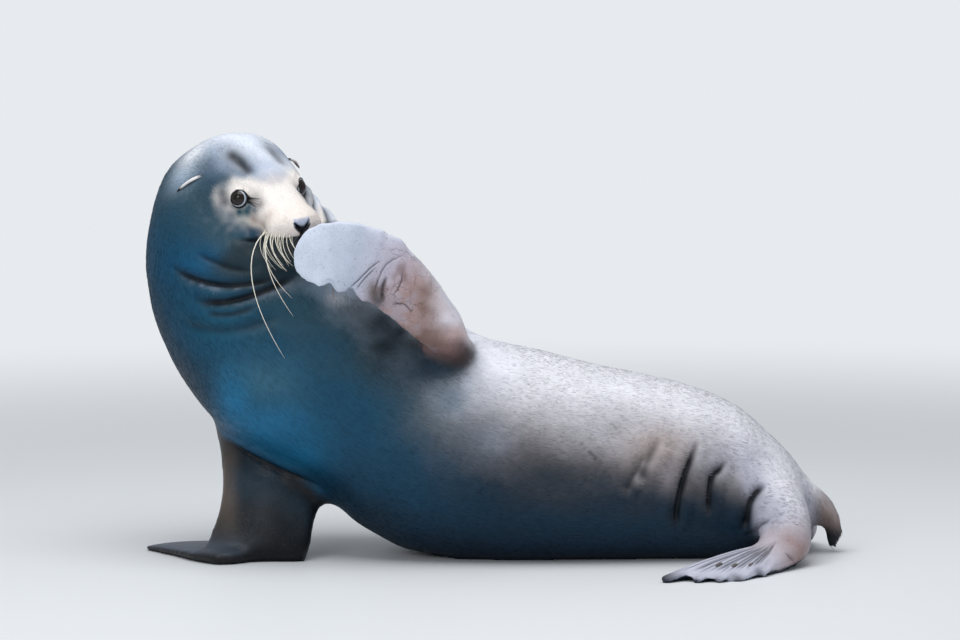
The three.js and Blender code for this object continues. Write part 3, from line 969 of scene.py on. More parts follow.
@dataclass
class Skin:
    """One skin over every node of flesh, remeshed, smoothed, refined and sculpted."""

    nodes: dict[str, bpy.types.Object]
    head: Head
    voxel: float = 0.0092
    growth: float = 0.0026
    thin_growth: float = 0.0042
    coat_depth: float = 0.0009
    held_off: float = 0.045  # how far the raised hand is bent off the face while the surface is made
    rounds: int = 60
    least_share: float = 0.012  # how far the thinnest flesh is smoothed in one round
    more_share: float = 0.488  # how much further the thick flesh is
    thick_flesh: float = 0.2
    fold_width: float = 0.0045  # folds wider than this are shaded at their sides too
    lids: Lids = Lids()
    thin_reach: float = 0.007  # how near a flipper's solid its own skin lies
    hand_reach: float = 0.009  # how near the raised hand's solid its own skin lies
    deepest: float = 0.4  # the thickness where nothing lies behind
    lumps: Line = ((0.0011, 0.055, 3.0), (0.0004, 0.017, 5.0))  # each one's height, size and seed
    rolls: Line = ((1.3, 2.4, 1.7), (0.5, -3.0, 2.0))  # beside a groove: height, place and reach
    flesh: tuple[str, ...] = (
        "trunk", "neck", "head", "lower_jaw", "nose", "tail",
        "fore_flipper_left", "fore_flipper_right", "hind_flipper_left", "hind_flipper_right",
    )
    piece: bpy.types.Object = field(init=False)
    shade: Array = field(init=False)
    lid_angle: Array = field(init=False)

    def build(self) -> bpy.types.Object:
        """Makes the skin's mesh.

        Returns:
            The skin, before its colours and its finish are put on.
        """
        self.piece = self._joined(grown=True)
        self._remesh()
        self._divide(lambda points, _: self._on_thin_ends(points))
        self._fit()
        self._round_off()
        self._refine()
        self._swell()
        self._crease()
        self._open_eyes()
        shade_smooth(self.piece)
        self._unwrap()
        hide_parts(*self.flesh)
        return self.piece

    def _joined(self, grown: bool) -> bpy.types.Object:
        """Copies of the flesh and the eyes in one piece, grown so that the cuts close, or as they are.

        Args:
            grown: whether the copies are grown.

        Returns:
            The piece.
        """
        shape = bmesh.new()
        for name in (*self.flesh, "eye_left", "eye_right"):
            part = bmesh.new()
            part.from_mesh(self.nodes[name].data)
            bmesh.ops.remove_doubles(part, verts=part.verts, dist=1e-6)
            part.normal_update()
            growth = self.thin_growth if "flipper" in name or name == "tail" else self.growth
            if name.startswith("eye"):
                growth = -self.lids.under
            elif not grown:
                growth = 0.0
            for vertex in part.verts:
                vertex.co += vertex.normal * growth
                if name == LIMBS["raised"].node:
                    vertex.co.y -= self._bent_off(vertex.co.x)
            copy = bpy.data.meshes.new("copy")
            part.to_mesh(copy)
            part.free()
            shape.from_mesh(copy)
            bpy.data.meshes.remove(copy)
        Toes().add_webs(shape)
        mesh = bpy.data.meshes.new("skin")
        shape.to_mesh(mesh)
        shape.free()
        return new_piece("skin", mesh)

    def _bent_off(self, ahead: Array | float) -> Array | float:
        """How far towards -Y the raised hand is bent at a place along X, from none at the wrist."""
        return self.held_off * smoothstep(-0.33, -0.43, ahead)

    def _remesh(self) -> None:
        """Turns the joined copies into one closed surface of even quads."""
        select_only(self.piece)
        remesh = self.piece.modifiers.new("even_quads", "REMESH")
        remesh.mode = "VOXEL"
        remesh.voxel_size = self.voxel
        bpy.ops.object.modifier_apply(modifier=remesh.name)

    def _on_thin_ends(self, points: Array) -> Array:
        """Which points lie on the flippers' thin ends, with the raised hand still bent off the face.

        Args:
            points: the points.

        Returns:
            True for each point that does.
        """
        chosen = np.zeros(len(points), bool)
        for name, limb in LIMBS.items():
            places = points.copy()
            if name == "raised":
                places[:, 1] += self._bent_off(points[:, 0])
            thin = limb.track.around(places).along > limb.thin_from
            chosen |= thin & (off_node(self.nodes, limb.node, places) < self.thin_reach)
        return chosen

    def _fit(self) -> None:
        """Lays the surface, which stands proud all over, onto the solids, and the hand in its place."""
        solids = self._joined(grown=False)
        points = nearest_on(tree_of(solids), places_of(self.piece))
        bpy.data.objects.remove(solids)
        bent = self._bent_off(points[:, 0])
        straight = points + np.outer(bent, (0.0, 1.0, 0.0))
        hand = LIMBS["raised"].node
        of_hand = (off_node(self.nodes, hand, straight) < self.hand_reach) & (bent > 0.0)
        points[of_hand] = nearest_on(tree_of(self.nodes[hand]), straight[of_hand])
        move_to(self.piece, points)

    def _thickness(self) -> Array:
        """How much flesh lies straight behind each vertex."""
        tree = tree_of(self.piece)
        depths = []
        for point, normal in zip(places_of(self.piece), normals_of(self.piece), strict=True):
            start = Vector(point - normal * 1e-4)
            distance = tree.ray_cast(start, Vector(-normal))[3]
            depths.append(self.deepest if distance is None else distance)
        return np.array(depths)

    def _round_off(self) -> None:
        """Smooths the facets away, little where the flesh is thin and on the face, and keeps the volume."""
        points = places_of(self.piece)
        edges = edges_of(self.piece)
        thickness = relaxed(self._thickness()[:, None], edges, 0.5, 8)[:, 0]
        share = self.least_share + self.more_share * np.clip(thickness / self.thick_flesh, 0.0, 1.0) ** 1.5
        local = self.head.local(points)
        ahead = smoothstep(-0.10, 0.02, local[:, 0])
        face = ahead * smoothstep(0.2, 0.14, np.linalg.norm(local, axis=1))
        share *= 1.0 - 0.7 * face
        smooth = relaxed(points, edges, share, self.rounds)
        move_to(self.piece, smooth)
        normals = normals_of(self.piece)
        lost = ((points - smooth) * normals).sum(1)
        lost = relaxed(lost[:, None], edges, share, self.rounds)
        smooth += normals * (lost - self.coat_depth * smoothstep(0.02, 0.06, thickness)[:, None])
        move_to(self.piece, self._grounded(smooth, points[:, 2]))

    def _grounded(self, points: Array, heights: Array) -> Array:
        """The points, with those that were on the floor put back on it."""
        points = points.copy()
        points[:, 2] = np.where(heights < self.voxel / 3, FLOOR_GAP, np.maximum(points[:, 2], FLOOR_GAP))
        return points

    def _refine(self) -> None:
        """Divides the faces more finely on the head, along the folds, and most finely on the face."""
        creases = [(line, crease.width) for crease, line in self._laid_creases()]

        def near_creases(points: Array, share: float) -> Array:
            """Which points lie within a share of a fold's width, and a little more."""
            near = np.zeros(len(points), bool)
            for line, width in creases:
                reach = share * width + 0.002
                near |= self._off_line(points, line, reach)[0] < reach
            return near

        self._divide(
            lambda points, local: (off_point(local, (0.0, 0.0, -0.01), (0.165, 0.125, 0.115)) < 1)  # head
            | near_creases(points, 2.2)
        )
        self._divide(
            lambda points, local: (off_point(local, (0.06, 0.0, -0.01), (0.095, 0.08, 0.055)) < 1)  # muzzle
            | near_creases(points, 1.0)
            | (off_point(points, (-0.40, -0.24, 0.490), (0.075, 0.05, 0.026)) < 1)  # edge of the raised hand
        )
        self._divide(
            lambda points, local: (self._off_eyes(local) < 0.031)
            | (off_point(local, (0.128, 0.0, -0.008), (0.022, 0.022, 0.03)) < 1)  # nose
        )

    def _off_eyes(self, local: Array) -> Array:
        """The distance from the nearer eye's centre."""
        return off_point(folded(local), self.head.eye(Side.LEFT))

    def _divide(self, chosen: Callable[[Array, Array], Array]) -> None:
        """Subdivides the faces all of whose vertices are chosen.

        Args:
            chosen: picks vertices by their places in the model's frame and in the head's.
        """
        points = places_of(self.piece)
        inside = chosen(points, self.head.local(points))
        select_only(self.piece)
        mesh = self.piece.data
        corners = rows_of(mesh.loops, "vertex_index", 1, np.int32).ravel()
        starts = rows_of(mesh.polygons, "loop_start", 1, np.int32).ravel()
        whole = np.minimum.reduceat(inside[corners].astype(np.int8), starts).astype(bool)
        mesh.vertices.foreach_set("select", np.zeros(len(points), bool))
        mesh.edges.foreach_set("select", np.zeros(len(mesh.edges), bool))
        mesh.polygons.foreach_set("select", whole)
        bpy.ops.object.mode_set(mode="EDIT")
        bpy.ops.mesh.select_mode(type="FACE")
        bpy.ops.mesh.subdivide(number_cuts=1, smoothness=0.0)
        bpy.ops.object.mode_set(mode="OBJECT")
        refined = places_of(self.piece)
        fresh = np.arange(len(refined)) >= len(points)
        move_to(self.piece, relaxed(refined, edges_of(self.piece), 0.5 * fresh, 3))
        LOG.info("skin: %d faces after refining", len(mesh.polygons))

    def _all_creases(self) -> list[Crease]:
        """Every groove, in the model's frame, those of the head's two sides among them."""
        creases = [*BODY_CREASES, *Toes().creases()]
        for crease in HEAD_CREASES:
            for side in (1.0, -1.0) if crease.both_sides else (1.0,):
                points = self.head.world(np.array(crease.points) * [1.0, side, 1.0])
                creases.append(replace(crease, points=tuple(map(tuple, points))))
        return creases

    def _laid_creases(self) -> list[tuple[Crease, Array]]:
        """Every groove with its line, laid onto the skin."""
        tree = tree_of(self.piece)
        return [(crease, nearest_on(tree, rounded_line(crease.points, 6))) for crease in self._all_creases()]

    @staticmethod
    def _off_line(
        points: Array, line: Array, reach: float, normals: Array | None = None
    ) -> tuple[Array, Array]:
        """How far points are from a line, and the share of the line passed.

        Args:
            points: the points.
            line: the points of the line.
            reach: how far from the line's box the points are looked at.
            normals: the surface's normals at the points, if the sides are told apart.

        Returns:
            The distance, infinite out of reach and negative on the line's left, and the share.
        """
        off = np.full(len(points), np.inf)
        passed = np.zeros(len(points))
        inside = ((points > line.min(0) - reach) & (points < line.max(0) + reach)).all(1)
        near = points[inside]
        best, number, share = nearest_stretch(near, line)
        if normals is not None:
            side = np.cross(np.diff(line, axis=0)[number], normals[inside])
            best = np.where(((near - line[number]) * side).sum(1) < 0, -best, best)
        off[inside] = best
        passed[inside] = (number + share) / (len(line) - 1)
        return off, passed

    def _swell(self) -> None:
        """Raises the head's mounds, gives the body faint lumps and pulls at the hand's edge."""
        points = places_of(self.piece)
        normals = normals_of(self.piece)
        local = self.head.local(points)
        rise = np.zeros(len(points))
        for mound in HEAD_MOUNDS:
            rise += mound.height * spot(folded(local), mound.at, mound.reach)
        trunk = smoothstep(0.15, 0.25, np.linalg.norm(local, axis=1)) * smoothstep(0.03, 0.12, points[:, 2])
        for height, size, seed in self.lumps:
            rise += height * cloud_noise(points, size, seed) * trunk
        pulled = points + normals * rise[:, None]
        for pull in HAND_PULLS:
            pulled += np.outer(spot(points, pull.at, pull.reach), pull.by)
        move_to(self.piece, self._grounded(pulled, points[:, 2]))

    def _crease(self) -> None:
        """Presses in the grooves, with a roll of flesh along both sides of each, and works out their painted
        shade.
        """
        points = places_of(self.piece)
        normals = normals_of(self.piece)
        rise = np.zeros(len(points))
        self.shade = np.zeros(len(points))
        for crease, line in self._laid_creases():
            off, passed = self._off_line(points, line, 7 * crease.width, normals)
            ends = smoothstep(0.0, 0.25, passed) * smoothstep(1.0, 0.75, passed)
            wavering = 1.0 + 0.2 * np.sin(passed * 17.0)
            groove = bell(off, crease.width) * ends * wavering
            rolls = sum(
                tall * bell(off + at * crease.width, wide * crease.width) for tall, at, wide in self.rolls
            )
            rise += crease.roll * rolls * ends - crease.depth * groove
            # painted shade along the groove's bottom, and beside it on wide folds
            dark = bell(off, 0.9 * crease.width)
            if crease.width > self.fold_width:
                dark = dark + 0.30 * bell(off, 2.6 * crease.width)
            self.shade = np.maximum(self.shade, crease.dark * dark * ends)
        move_to(self.piece, self._grounded(points + normals * rise[:, None], points[:, 2]))

    def _open_eyes(self) -> None:
        """Leads the skin under each eyeball inside the opening and raises a rim round it."""
        points = places_of(self.piece)
        local = self.head.local(points)
        self.lid_angle = np.full(len(points), 9.0)
        for side in Side:
            eye = EyeFrame.of(self.head, self.lids, side)
            away = local - eye.centre
            distance = np.linalg.norm(away, axis=1)
            chosen = distance < self.lids.reach
            place, far = away[chosen], distance[chosen]
            tilt, around = eye.angles(place)
            width = self.lids.width(around)
            past = tilt - width
            snapped = np.abs(past) < self.lids.snap / self.head.eye_radius
            tilt = np.where(snapped, width, tilt)
            past = np.where(snapped, 0.0, past)
            rim = self.head.eye_radius + self.lids.rim * smoothstep(-0.004, 0.075, past)
            rim = np.where(past >= 0, rim + self.lids.clear, self.head.eye_radius - self.lids.under)
            settled = smoothstep(0.05, self.lids.fade, past)
            new_far = np.where(past < 0, rim, rim * (1 - settled) + np.maximum(far, rim) * settled)
            keep = past > self.lids.fade
            moved = eye.centre + eye.direction(tilt, around) * new_far[:, None]
            local[chosen] = np.where(keep[:, None], local[chosen], moved)
            self.lid_angle[chosen] = np.minimum(self.lid_angle[chosen], past)
        moved = self.head.world(local)
        near = smoothstep(0.052, 0.036, self._off_eyes(local)) * smoothstep(0.04, 0.20, self.lid_angle)
        move_to(self.piece, relaxed(moved, edges_of(self.piece), 0.5 * near, 70))

    def _unwrap(self) -> None:
        """Lays the skin out flat in islands, for the bake and for the tufts that stand on it."""
        select_only(self.piece)
        self.piece.data.uv_layers.new(name=BAKE_MAP)
        bpy.ops.object.mode_set(mode="EDIT")
        bpy.ops.mesh.select_all(action="SELECT")
        bpy.ops.uv.smart_project(angle_limit=math.radians(66), island_margin=0.002)
        bpy.ops.object.mode_set(mode="OBJECT")


@dataclass(frozen=True)
class EyeFrame:
    """An eye's own directions, in the head's frame: its centre, its gaze, towards the nose, and up."""

    centre: Array
    gaze: Array
    nose: Array
    up: Array

    @classmethod
    def of(cls, head: Head, lids: Lids, side: Side) -> EyeFrame:
        """The frame of one side's eye."""
        gaze = unit(np.array(lids.gaze) * [1.0, -side.value, 1.0])
        nose = unit(np.array([1.0, 0.0, 0.0]) - gaze * gaze[0])
        up = np.cross(gaze, nose) * side.value
        return cls(np.array(head.eye(side)), gaze, nose, up)

    def angles(self, away: Array) -> tuple[Array, Array]:
        """The angle from the gaze and the angle around it, with 0 towards the nose and a quarter turn up."""
        direction = unit(away)
        tilt = np.arccos(np.clip(direction @ self.gaze, -1.0, 1.0))
        return tilt, np.arctan2(direction @ self.up, direction @ self.nose)

    def direction(self, tilt: Array, around: Array) -> Array:
        """The direction at those angles."""
        across = np.outer(np.cos(around), self.nose) + np.outer(np.sin(around), self.up)
        return np.outer(np.cos(tilt), self.gaze) + across * np.sin(tilt)[:, None]


# ---------------------------------------------------------------- markings and painted light


# A soft-edged patch of colour: the colour, its middle, its reach and its strength.
Patch = tuple[Colour, tuple[float, ...], float | tuple[float, ...], float]


def patched(colour: Array, points: Array, patches: tuple[Patch, ...], ragged: Array | float) -> Array:
    """Lays patches over the colours, one after another.

    Args:
        colour: the colour at each point.
        points: the points, with as many coordinates as the patches' middles.
        patches: the patches.
        ragged: a factor about 1 that makes the patches' edges uneven.

    Returns:
        The new colours.
    """
    for tint, at, reach, strength in patches:
        near = strength * spot(points, at, 1.0, reach)
        colour = mixed(colour, tint, np.clip(near * ragged, 0.0, 1.0))
    return colour


@dataclass(frozen=True)
class Markings:
    """The animal's colours, with painted light and shade among them: one rule for the skin and for the tufts
    that stand on it.
    """

    # These body colours paint light by the way the surface faces: painted shade below, painted sky sheen
    # above
    belly: Colour = (0.0, 0.01, 0.026)
    low_flank: Colour = (0.001, 0.021, 0.046)
    flank: Colour = (0.013, 0.026, 0.044)
    mid_flank: Colour = (0.105, 0.1, 0.108)
    side: Colour = (0.26, 0.25, 0.265)
    saddle: Colour = (0.5, 0.49, 0.53)
    back: Colour = (0.76, 0.755, 0.81)
    # In front the painted shade is lit by painted blue reflected light
    throat: Colour = (0.001, 0.02, 0.042)
    low_chest: Colour = (0.003, 0.045, 0.092)
    chest: Colour = (0.004, 0.055, 0.108)
    shoulder: Colour = (0.022, 0.062, 0.092)
    nape: Colour = (0.3, 0.37, 0.47)
    crown: Colour = (0.72, 0.77, 0.87)
    mask: Colour = (0.84, 0.79, 0.75)
    muzzle: Colour = (0.85, 0.77, 0.72)
    lid: Colour = (0.004, 0.004, 0.005)
    # dark lips, and painted shade on the lower jaw under the muzzle
    lip: Colour = (0.008, 0.022, 0.03)
    nose: Colour = (0.42, 0.46, 0.58)
    low_nose: Colour = (0.018, 0.021, 0.026)
    brown: Colour = (0.085, 0.052, 0.036)
    # painted shade at the bottom of the creases and inside the ears; also the whisker follicles' dark dots
    groove: Colour = (0.006, 0.009, 0.014)
    # the hand's own pale skin with painted sky sheen from above
    hand: Colour = (0.6, 0.66, 0.78)
    palm: Colour = (0.5, 0.46, 0.55)
    wrist: Colour = (0.42, 0.29, 0.285)
    forearm: Colour = (0.3, 0.215, 0.205)
    web: Colour = (0.22, 0.13, 0.125)
    # painted shadow in the armpit
    armpit_shadow: Colour = (0.014, 0.026, 0.034)
    sole: Colour = (0.52, 0.46, 0.51)
    toes: Colour = (0.56, 0.58, 0.7)
    tip: Colour = (0.01, 0.013, 0.018)
    sky: Point = (0.26, -0.04, 0.96)  # the way the painted sky sheen falls from: faces turned this way are painted palest
    mask_edge: tuple[tuple[float, float], ...] = (  # degrees up round the head, and how far ahead
        (-90, 0.088), (-60, 0.078), (-45, 0.062), (-38, 0.048), (-27, 0.020), (-17, -0.006), (-10, -0.024),
        (-5, -0.034), (3, -0.037), (13, -0.030), (26, -0.018), (39, -0.001), (55, 0.008), (90, 0.009),
    )
    lip_line: tuple[tuple[float, float], ...] = (  # how far ahead, and the lip's height there
        (0.03, -0.060), (0.06, -0.050), (0.09, -0.037), (0.113, -0.027), (0.126, -0.027),
    )
    nose_widths: tuple[tuple[float, float], ...] = (  # the height, and half the nose's width there
        (-0.022, 0.005), (-0.016, 0.011), (-0.008, 0.0165), (0.002, 0.0150),
    )
    face_patches: tuple[Patch, ...] = (  # in the head's frame, on its left
        ((0.15, 0.145, 0.16), (-0.012, 0.08, -0.008), 0.015, 1.0),  # behind the eye
        ((0.27, 0.29, 0.32), (-0.014, 0.083, -0.025), 0.01, 0.85),
        ((0.24, 0.28, 0.31), (-0.03, 0.072, 0.016), 0.014, 0.8),  # end of the brow
        ((0.12, 0.13, 0.15), (-0.024, 0.078, 0.003), 0.011, 0.9),
        ((0.31, 0.3, 0.33), (0.005, 0.074, -0.027), 0.009, 0.9),
        ((0.1, 0.17, 0.21), (0.006, 0.073, -0.041), 0.01, 0.8),  # jowl
        ((0.16, 0.21, 0.25), (0.02, 0.068, -0.048), 0.01, 0.75),
        ((0.56, 0.56, 0.5), (0.033, 0.06, -0.036), 0.011, 0.95),  # cheek
        ((0.25, 0.19, 0.2), (0.044, 0.054, -0.047), 0.009, 0.9),  # over the mouth's corner
        ((0.43, 0.34, 0.3), (0.045, 0.051, -0.022), 0.013, 0.9),
        ((0.54, 0.43, 0.37), (0.066, 0.044, -0.026), 0.013, 0.85),
        ((0.42, 0.4, 0.38), (0.03, 0.041, 0.012), 0.01, 0.9),  # before the eye
        ((0.26, 0.235, 0.235), (0.048, 0.042, 0.006), 0.011, 0.95),
        ((0.46, 0.44, 0.48), (0.012, 0.02, 0.038), 0.01, 0.7),
        ((0.46, 0.45, 0.51), (0.01, 0.01, 0.041), 0.016, 0.85),  # between the brows
        ((0.5, 0.48, 0.51), (0.024, 0.006, 0.034), 0.011, 0.7),
        ((0.05, 0.07, 0.105), (0.004, 0.071, -0.01), 0.006, 0.7),
        ((0.62, 0.53, 0.48), (0.08, 0.043, -0.003), 0.013, 0.7),
        ((0.016, 0.07, 0.095), (0.016, 0.065, -0.019), 0.0115, 1.0),  # under the eye
        ((0.016, 0.07, 0.095), (0.028, 0.058, -0.014), 0.012, 1.0),
        ((0.02, 0.075, 0.1), (0.029, 0.053, -0.006), 0.01, 1.0),
        ((0.09, 0.12, 0.16), (0.043, 0.049, -0.005), 0.008, 0.95),
    )
    head_patches: tuple[Patch, ...] = (
        ((0.026, 0.058, 0.085), (-0.052, 0.086, -0.01), 0.036, 0.8),  # temple
        ((0.24, 0.32, 0.46), (-0.065, 0.056, 0.04), 0.024, 0.7),
        ((0.07, 0.11, 0.16), (-0.084, 0.078, 0.028), 0.021, 0.9),
        ((0.38, 0.48, 0.6), (-0.13, 0.094, -0.004), 0.034, 0.85),  # behind the ear: painted sheen on the head's lit back edge
        ((0.86, 0.88, 0.92), (-0.15, 0.072, 0.026), 0.03, 0.9),
        ((0.62, 0.67, 0.76), (-0.07, 0.028, 0.058), 0.034, 0.65),  # crown: painted sky sheen
        ((0.5, 0.56, 0.7), (-0.012, 0.008, 0.048), 0.016, 0.75),  # forehead: painted sky sheen on its lavender grey
    )
    left_patches: tuple[Patch, ...] = (  # by their X and Z, on the body's left side alone
        ((0.002, 0.078, 0.175), (-0.655, 0.532), (0.055, 0.034), 0.75),  # neck: painted shade lit by blue reflected light
        ((0.006, 0.085, 0.17), (-0.588, 0.533), (0.04, 0.02), 0.75),
        ((0.004, 0.08, 0.145), (-0.617, 0.423), (0.065, 0.055), 0.85),
        ((0.012, 0.055, 0.085), (-0.511, 0.453), (0.045, 0.028), 0.75),
        ((0.035, 0.125, 0.19), (-0.543, 0.326), (0.07, 0.05), 0.85),  # chest: painted shade lit by blue reflected light
        ((0.01, 0.16, 0.32), (-0.6, 0.29), (0.032, 0.055), 0.85),
        ((0.012, 0.15, 0.3), (-0.54, 0.245), (0.08, 0.045), 0.9),
        ((0.006, 0.115, 0.23), (-0.476, 0.2), (0.06, 0.036), 0.85),
        ((0.02, 0.036, 0.05), (-0.335, 0.356), (0.05, 0.032), 0.65),  # painted shadow under the raised flipper
        ((0.06, 0.064, 0.072), (-0.372, 0.455), (0.045, 0.026), 0.85),
        ((0.022, 0.03, 0.036), (-0.345, 0.425), (0.04, 0.022), 0.85),
        ((0.005, 0.012, 0.02), (-0.334, 0.436), (0.024, 0.02), 0.95),
        ((0.005, 0.012, 0.02), (-0.306, 0.412), (0.026, 0.024), 1.0),
        ((0.005, 0.012, 0.02), (-0.278, 0.393), (0.028, 0.024), 1.0),
        ((0.005, 0.013, 0.024), (-0.244, 0.375), (0.032, 0.026), 1.0),
        ((0.007, 0.016, 0.03), (-0.212, 0.36), (0.024, 0.02), 0.9),
        ((0.008, 0.026, 0.048), (-0.27, 0.34), (0.055, 0.032), 0.8),
        # a bluer patch below the elbow
        ((0.09, 0.14, 0.195), (-0.215, 0.296), (0.03, 0.028), 0.65),
        # painted shadow under the raised flipper
        ((0.008, 0.016, 0.022), (-0.33, 0.39), (0.04, 0.026), 0.95),
        # a pale patch on the chest under the hand
        ((0.32, 0.33, 0.36), (-0.414, 0.472), (0.017, 0.011), 0.9),
        ((0.2, 0.23, 0.29), (-0.145, 0.229), (0.042, 0.032), 0.6),  # flank
    )
    side_patches: tuple[Patch, ...] = (  # by their X and Z, on both sides
        ((0.02, 0.03, 0.044), (-0.04, 0.156), (0.062, 0.036), 0.85),
        ((0.45, 0.375, 0.355), (0.149, 0.212), (0.055, 0.036), 0.85),
        ((0.25, 0.225, 0.245), (0.168, 0.165), (0.022, 0.026), 0.75),
        ((0.58, 0.57, 0.62), (0.322, 0.18), (0.042, 0.04), 0.75),  # haunch: painted sky sheen
        # a paler grey patch before the haunch
        ((0.36, 0.36, 0.42), (0.262, 0.188), (0.04, 0.026), 0.55),
    )
    arm_patches: tuple[Patch, ...] = (  # by their X and Z, on the raised flipper
        ((0.25, 0.165, 0.15), (-0.262, 0.487), (0.03, 0.02), 0.75),  # brown
        ((0.28, 0.245, 0.27), (-0.312, 0.474), (0.01, 0.012), 0.6),
        ((0.06, 0.065, 0.075), (-0.338, 0.474), (0.012, 0.015), 0.75),  # painted shade in the wrist's bend
        ((0.62, 0.45, 0.44), (-0.204, 0.413), (0.024, 0.012), 0.85),  # pink skin by the elbow
        # painted lilac sheen by the elbow
        ((0.82, 0.77, 0.85), (-0.213, 0.439), (0.024, 0.013), 0.85),
    )

    @staticmethod
    def ramp(values: Array, stops: tuple[tuple[float, Colour], ...]) -> Array:
        """Colours along a scale of stops, each a value and its colour."""
        return rows_at(values, *zip(*stops, strict=True))

    def body(self, points: Array, sky: Array) -> Array:
        """The coat of the trunk, neck and head: painted sky sheen where it faces up, painted shade where it
        faces down, and in front painted shade lit by blue reflected light.

        Args:
            points: the points.
            sky: how far each faces the sky, from -1 to 1.

        Returns:
            The colour at each point.
        """
        rear = self.ramp(sky, (
            (-0.75, self.belly), (-0.35, self.low_flank), (-0.10, self.flank), (0.12, self.mid_flank),
            (0.30, self.side), (0.55, self.saddle), (0.85, self.back),
        ))
        front = self.ramp(sky, (
            (-0.70, self.throat), (-0.35, self.low_chest), (0.00, self.chest), (0.32, self.shoulder),
            (0.66, self.nape), (0.92, self.crown),
        ))
        blend = smoothstep(-0.36, -0.04, points[:, 0] + 0.25 * (0.35 - points[:, 2]))
        return mixed(front, rear, blend)

    def face(self, colour: Array, local: Array, ragged: Array) -> Array:
        """Adds the pale face mask with its warm cheeks, the patch under the eye, the dark lips with painted
        shade on the lower jaw below them, and the nose.

        Args:
            colour: the colours so far.
            local: the points in the head's frame.
            ragged: noise that makes the edges uneven.

        Returns:
            The new colours.
        """
        ahead, across, high = folded(local).T
        on_head = smoothstep(1.12, 0.94, off_point(local, (0.035, 0.0, -0.012), (0.112, 0.118, 0.082)))
        edge = np.interp(np.degrees(np.arctan2(high, across)), *np.array(self.mask_edge).T)
        share = on_head * smoothstep(-0.018, 0.018, ahead - edge + 0.005 * ragged)
        pale = mixed(self.mask, self.muzzle, smoothstep(0.05, 0.10, ahead))
        pale = patched(pale, folded(local), self.face_patches, 1 + 0.08 * ragged)
        colour = mixed(colour, pale, share)
        # dark lips, and painted shade on the lower jaw below the lip line
        lip = smoothstep(0.002, -0.004, high - np.interp(ahead, *np.array(self.lip_line).T))
        lip *= smoothstep(0.02, 0.05, ahead) * smoothstep(0.20, 0.15, np.linalg.norm(local, axis=1))
        colour = mixed(colour, self.lip, 0.92 * lip)
        corner = spot(folded(local), (0.0285, 0.0485, 0.003), 0.0030, (1.7, 1.2, 1.0))
        colour = mixed(colour, self.lid, 0.9 * corner)
        half = np.interp(high, *np.array(self.nose_widths).T)
        pad = smoothstep(0.113, 0.121, ahead) * smoothstep(half + 0.0022, half - 0.0012, across)
        pad *= smoothstep(0.0065, 0.0015, high) * smoothstep(-0.024, -0.018, high) * on_head
        nose = mixed(self.nose, self.low_nose, smoothstep(-0.003, -0.010, high))
        colour = mixed(colour, nose, pad)
        below = smoothstep(0.112, 0.118, ahead) * smoothstep(0.0075, 0.0025, across) * on_head
        return mixed(colour, self.lid, 0.95 * below * smoothstep(-0.010, -0.015, high))

    def limbs(
        self, colour: Array, places: dict[str, Places], points: Array, sky: Array, bare: dict[str, Array]
    ) -> Array:
        """Adds the bare skin of the flippers.

        Args:
            colour: the colours so far.
            places: the straightened coordinates around each limb.
            points: the points.
            sky: how far each faces the sky.
            bare: how bare the skin of each limb is.

        Returns:
            The new colours.
        """
        colour = mixed(colour, self._raised(places["raised"], points, sky), bare["raised"])
        colour = mixed(colour, self._propping(places["propping"], points, sky), bare["propping"])
        for name in ("left_leg", "right_leg"):
            colour = mixed(colour, self._foot(places[name], points, sky, name), bare[name])
        return colour

    def _raised(self, place: Places, points: Array, sky: Array) -> Array:
        """The raised flipper: a pale hand, a brown and mauve forearm with a painted grey sheen along its
        edge, painted shadow in the armpit, and painted sky sheen where it faces up.

        Args:
            place: the straightened coordinates around it.
            points: the points.
            sky: how far each faces the sky.

        Returns:
            The colour at each point.
        """
        base = self.ramp(place.along, (
            (0.06, self.armpit_shadow), (0.095, (0.05, 0.030, 0.030)), (0.125, self.web), (0.16, self.forearm),
            (0.25, self.wrist), (0.30, self.palm), (0.36, (0.44, 0.49, 0.60)), (0.42, self.hand),
        ))
        blotch = cloud_noise(points, 0.030, 9.0) + 0.5 * cloud_noise(points, 0.012, 2.0)
        arm = smoothstep(0.33, 0.27, place.along) * smoothstep(0.11, 0.15, place.along)
        base = mixed(base, (0.17, 0.10, 0.080), 0.70 * arm * smoothstep(-0.05, 0.50, blotch))
        base = mixed(base, (0.42, 0.39, 0.46), 0.55 * arm * smoothstep(-0.15, -0.55, blotch))
        # painted highlight along the forearm's upper edge
        sheen = smoothstep(-0.006, 0.020, place.aside) * smoothstep(0.065, 0.105, place.along)
        sheen *= smoothstep(0.27, 0.19, place.along)
        base = mixed(base, (0.74, 0.66, 0.70), 0.9 * sheen)
        # painted shadow under the forearm's root, in the armpit
        under = smoothstep(-0.026, -0.046, place.aside) * smoothstep(0.150, 0.110, place.along)
        base = mixed(base, self.armpit_shadow, 0.9 * under)
        patch = spot(points, (-0.346, -0.248, 0.490), 0.0120, (1.0, 2.0, 2.0))
        base = mixed(base, (0.095, 0.062, 0.045), 0.85 * patch)
        base = patched(base, points[:, [0, 2]], self.arm_patches, 1 + 0.4 * blotch)
        # painted sky sheen on the faces turned up
        lit = smoothstep(0.25, 0.85, sky) * smoothstep(0.08, 0.14, place.along)
        return mixed(base, (0.62, 0.66, 0.76), 0.7 * lit)

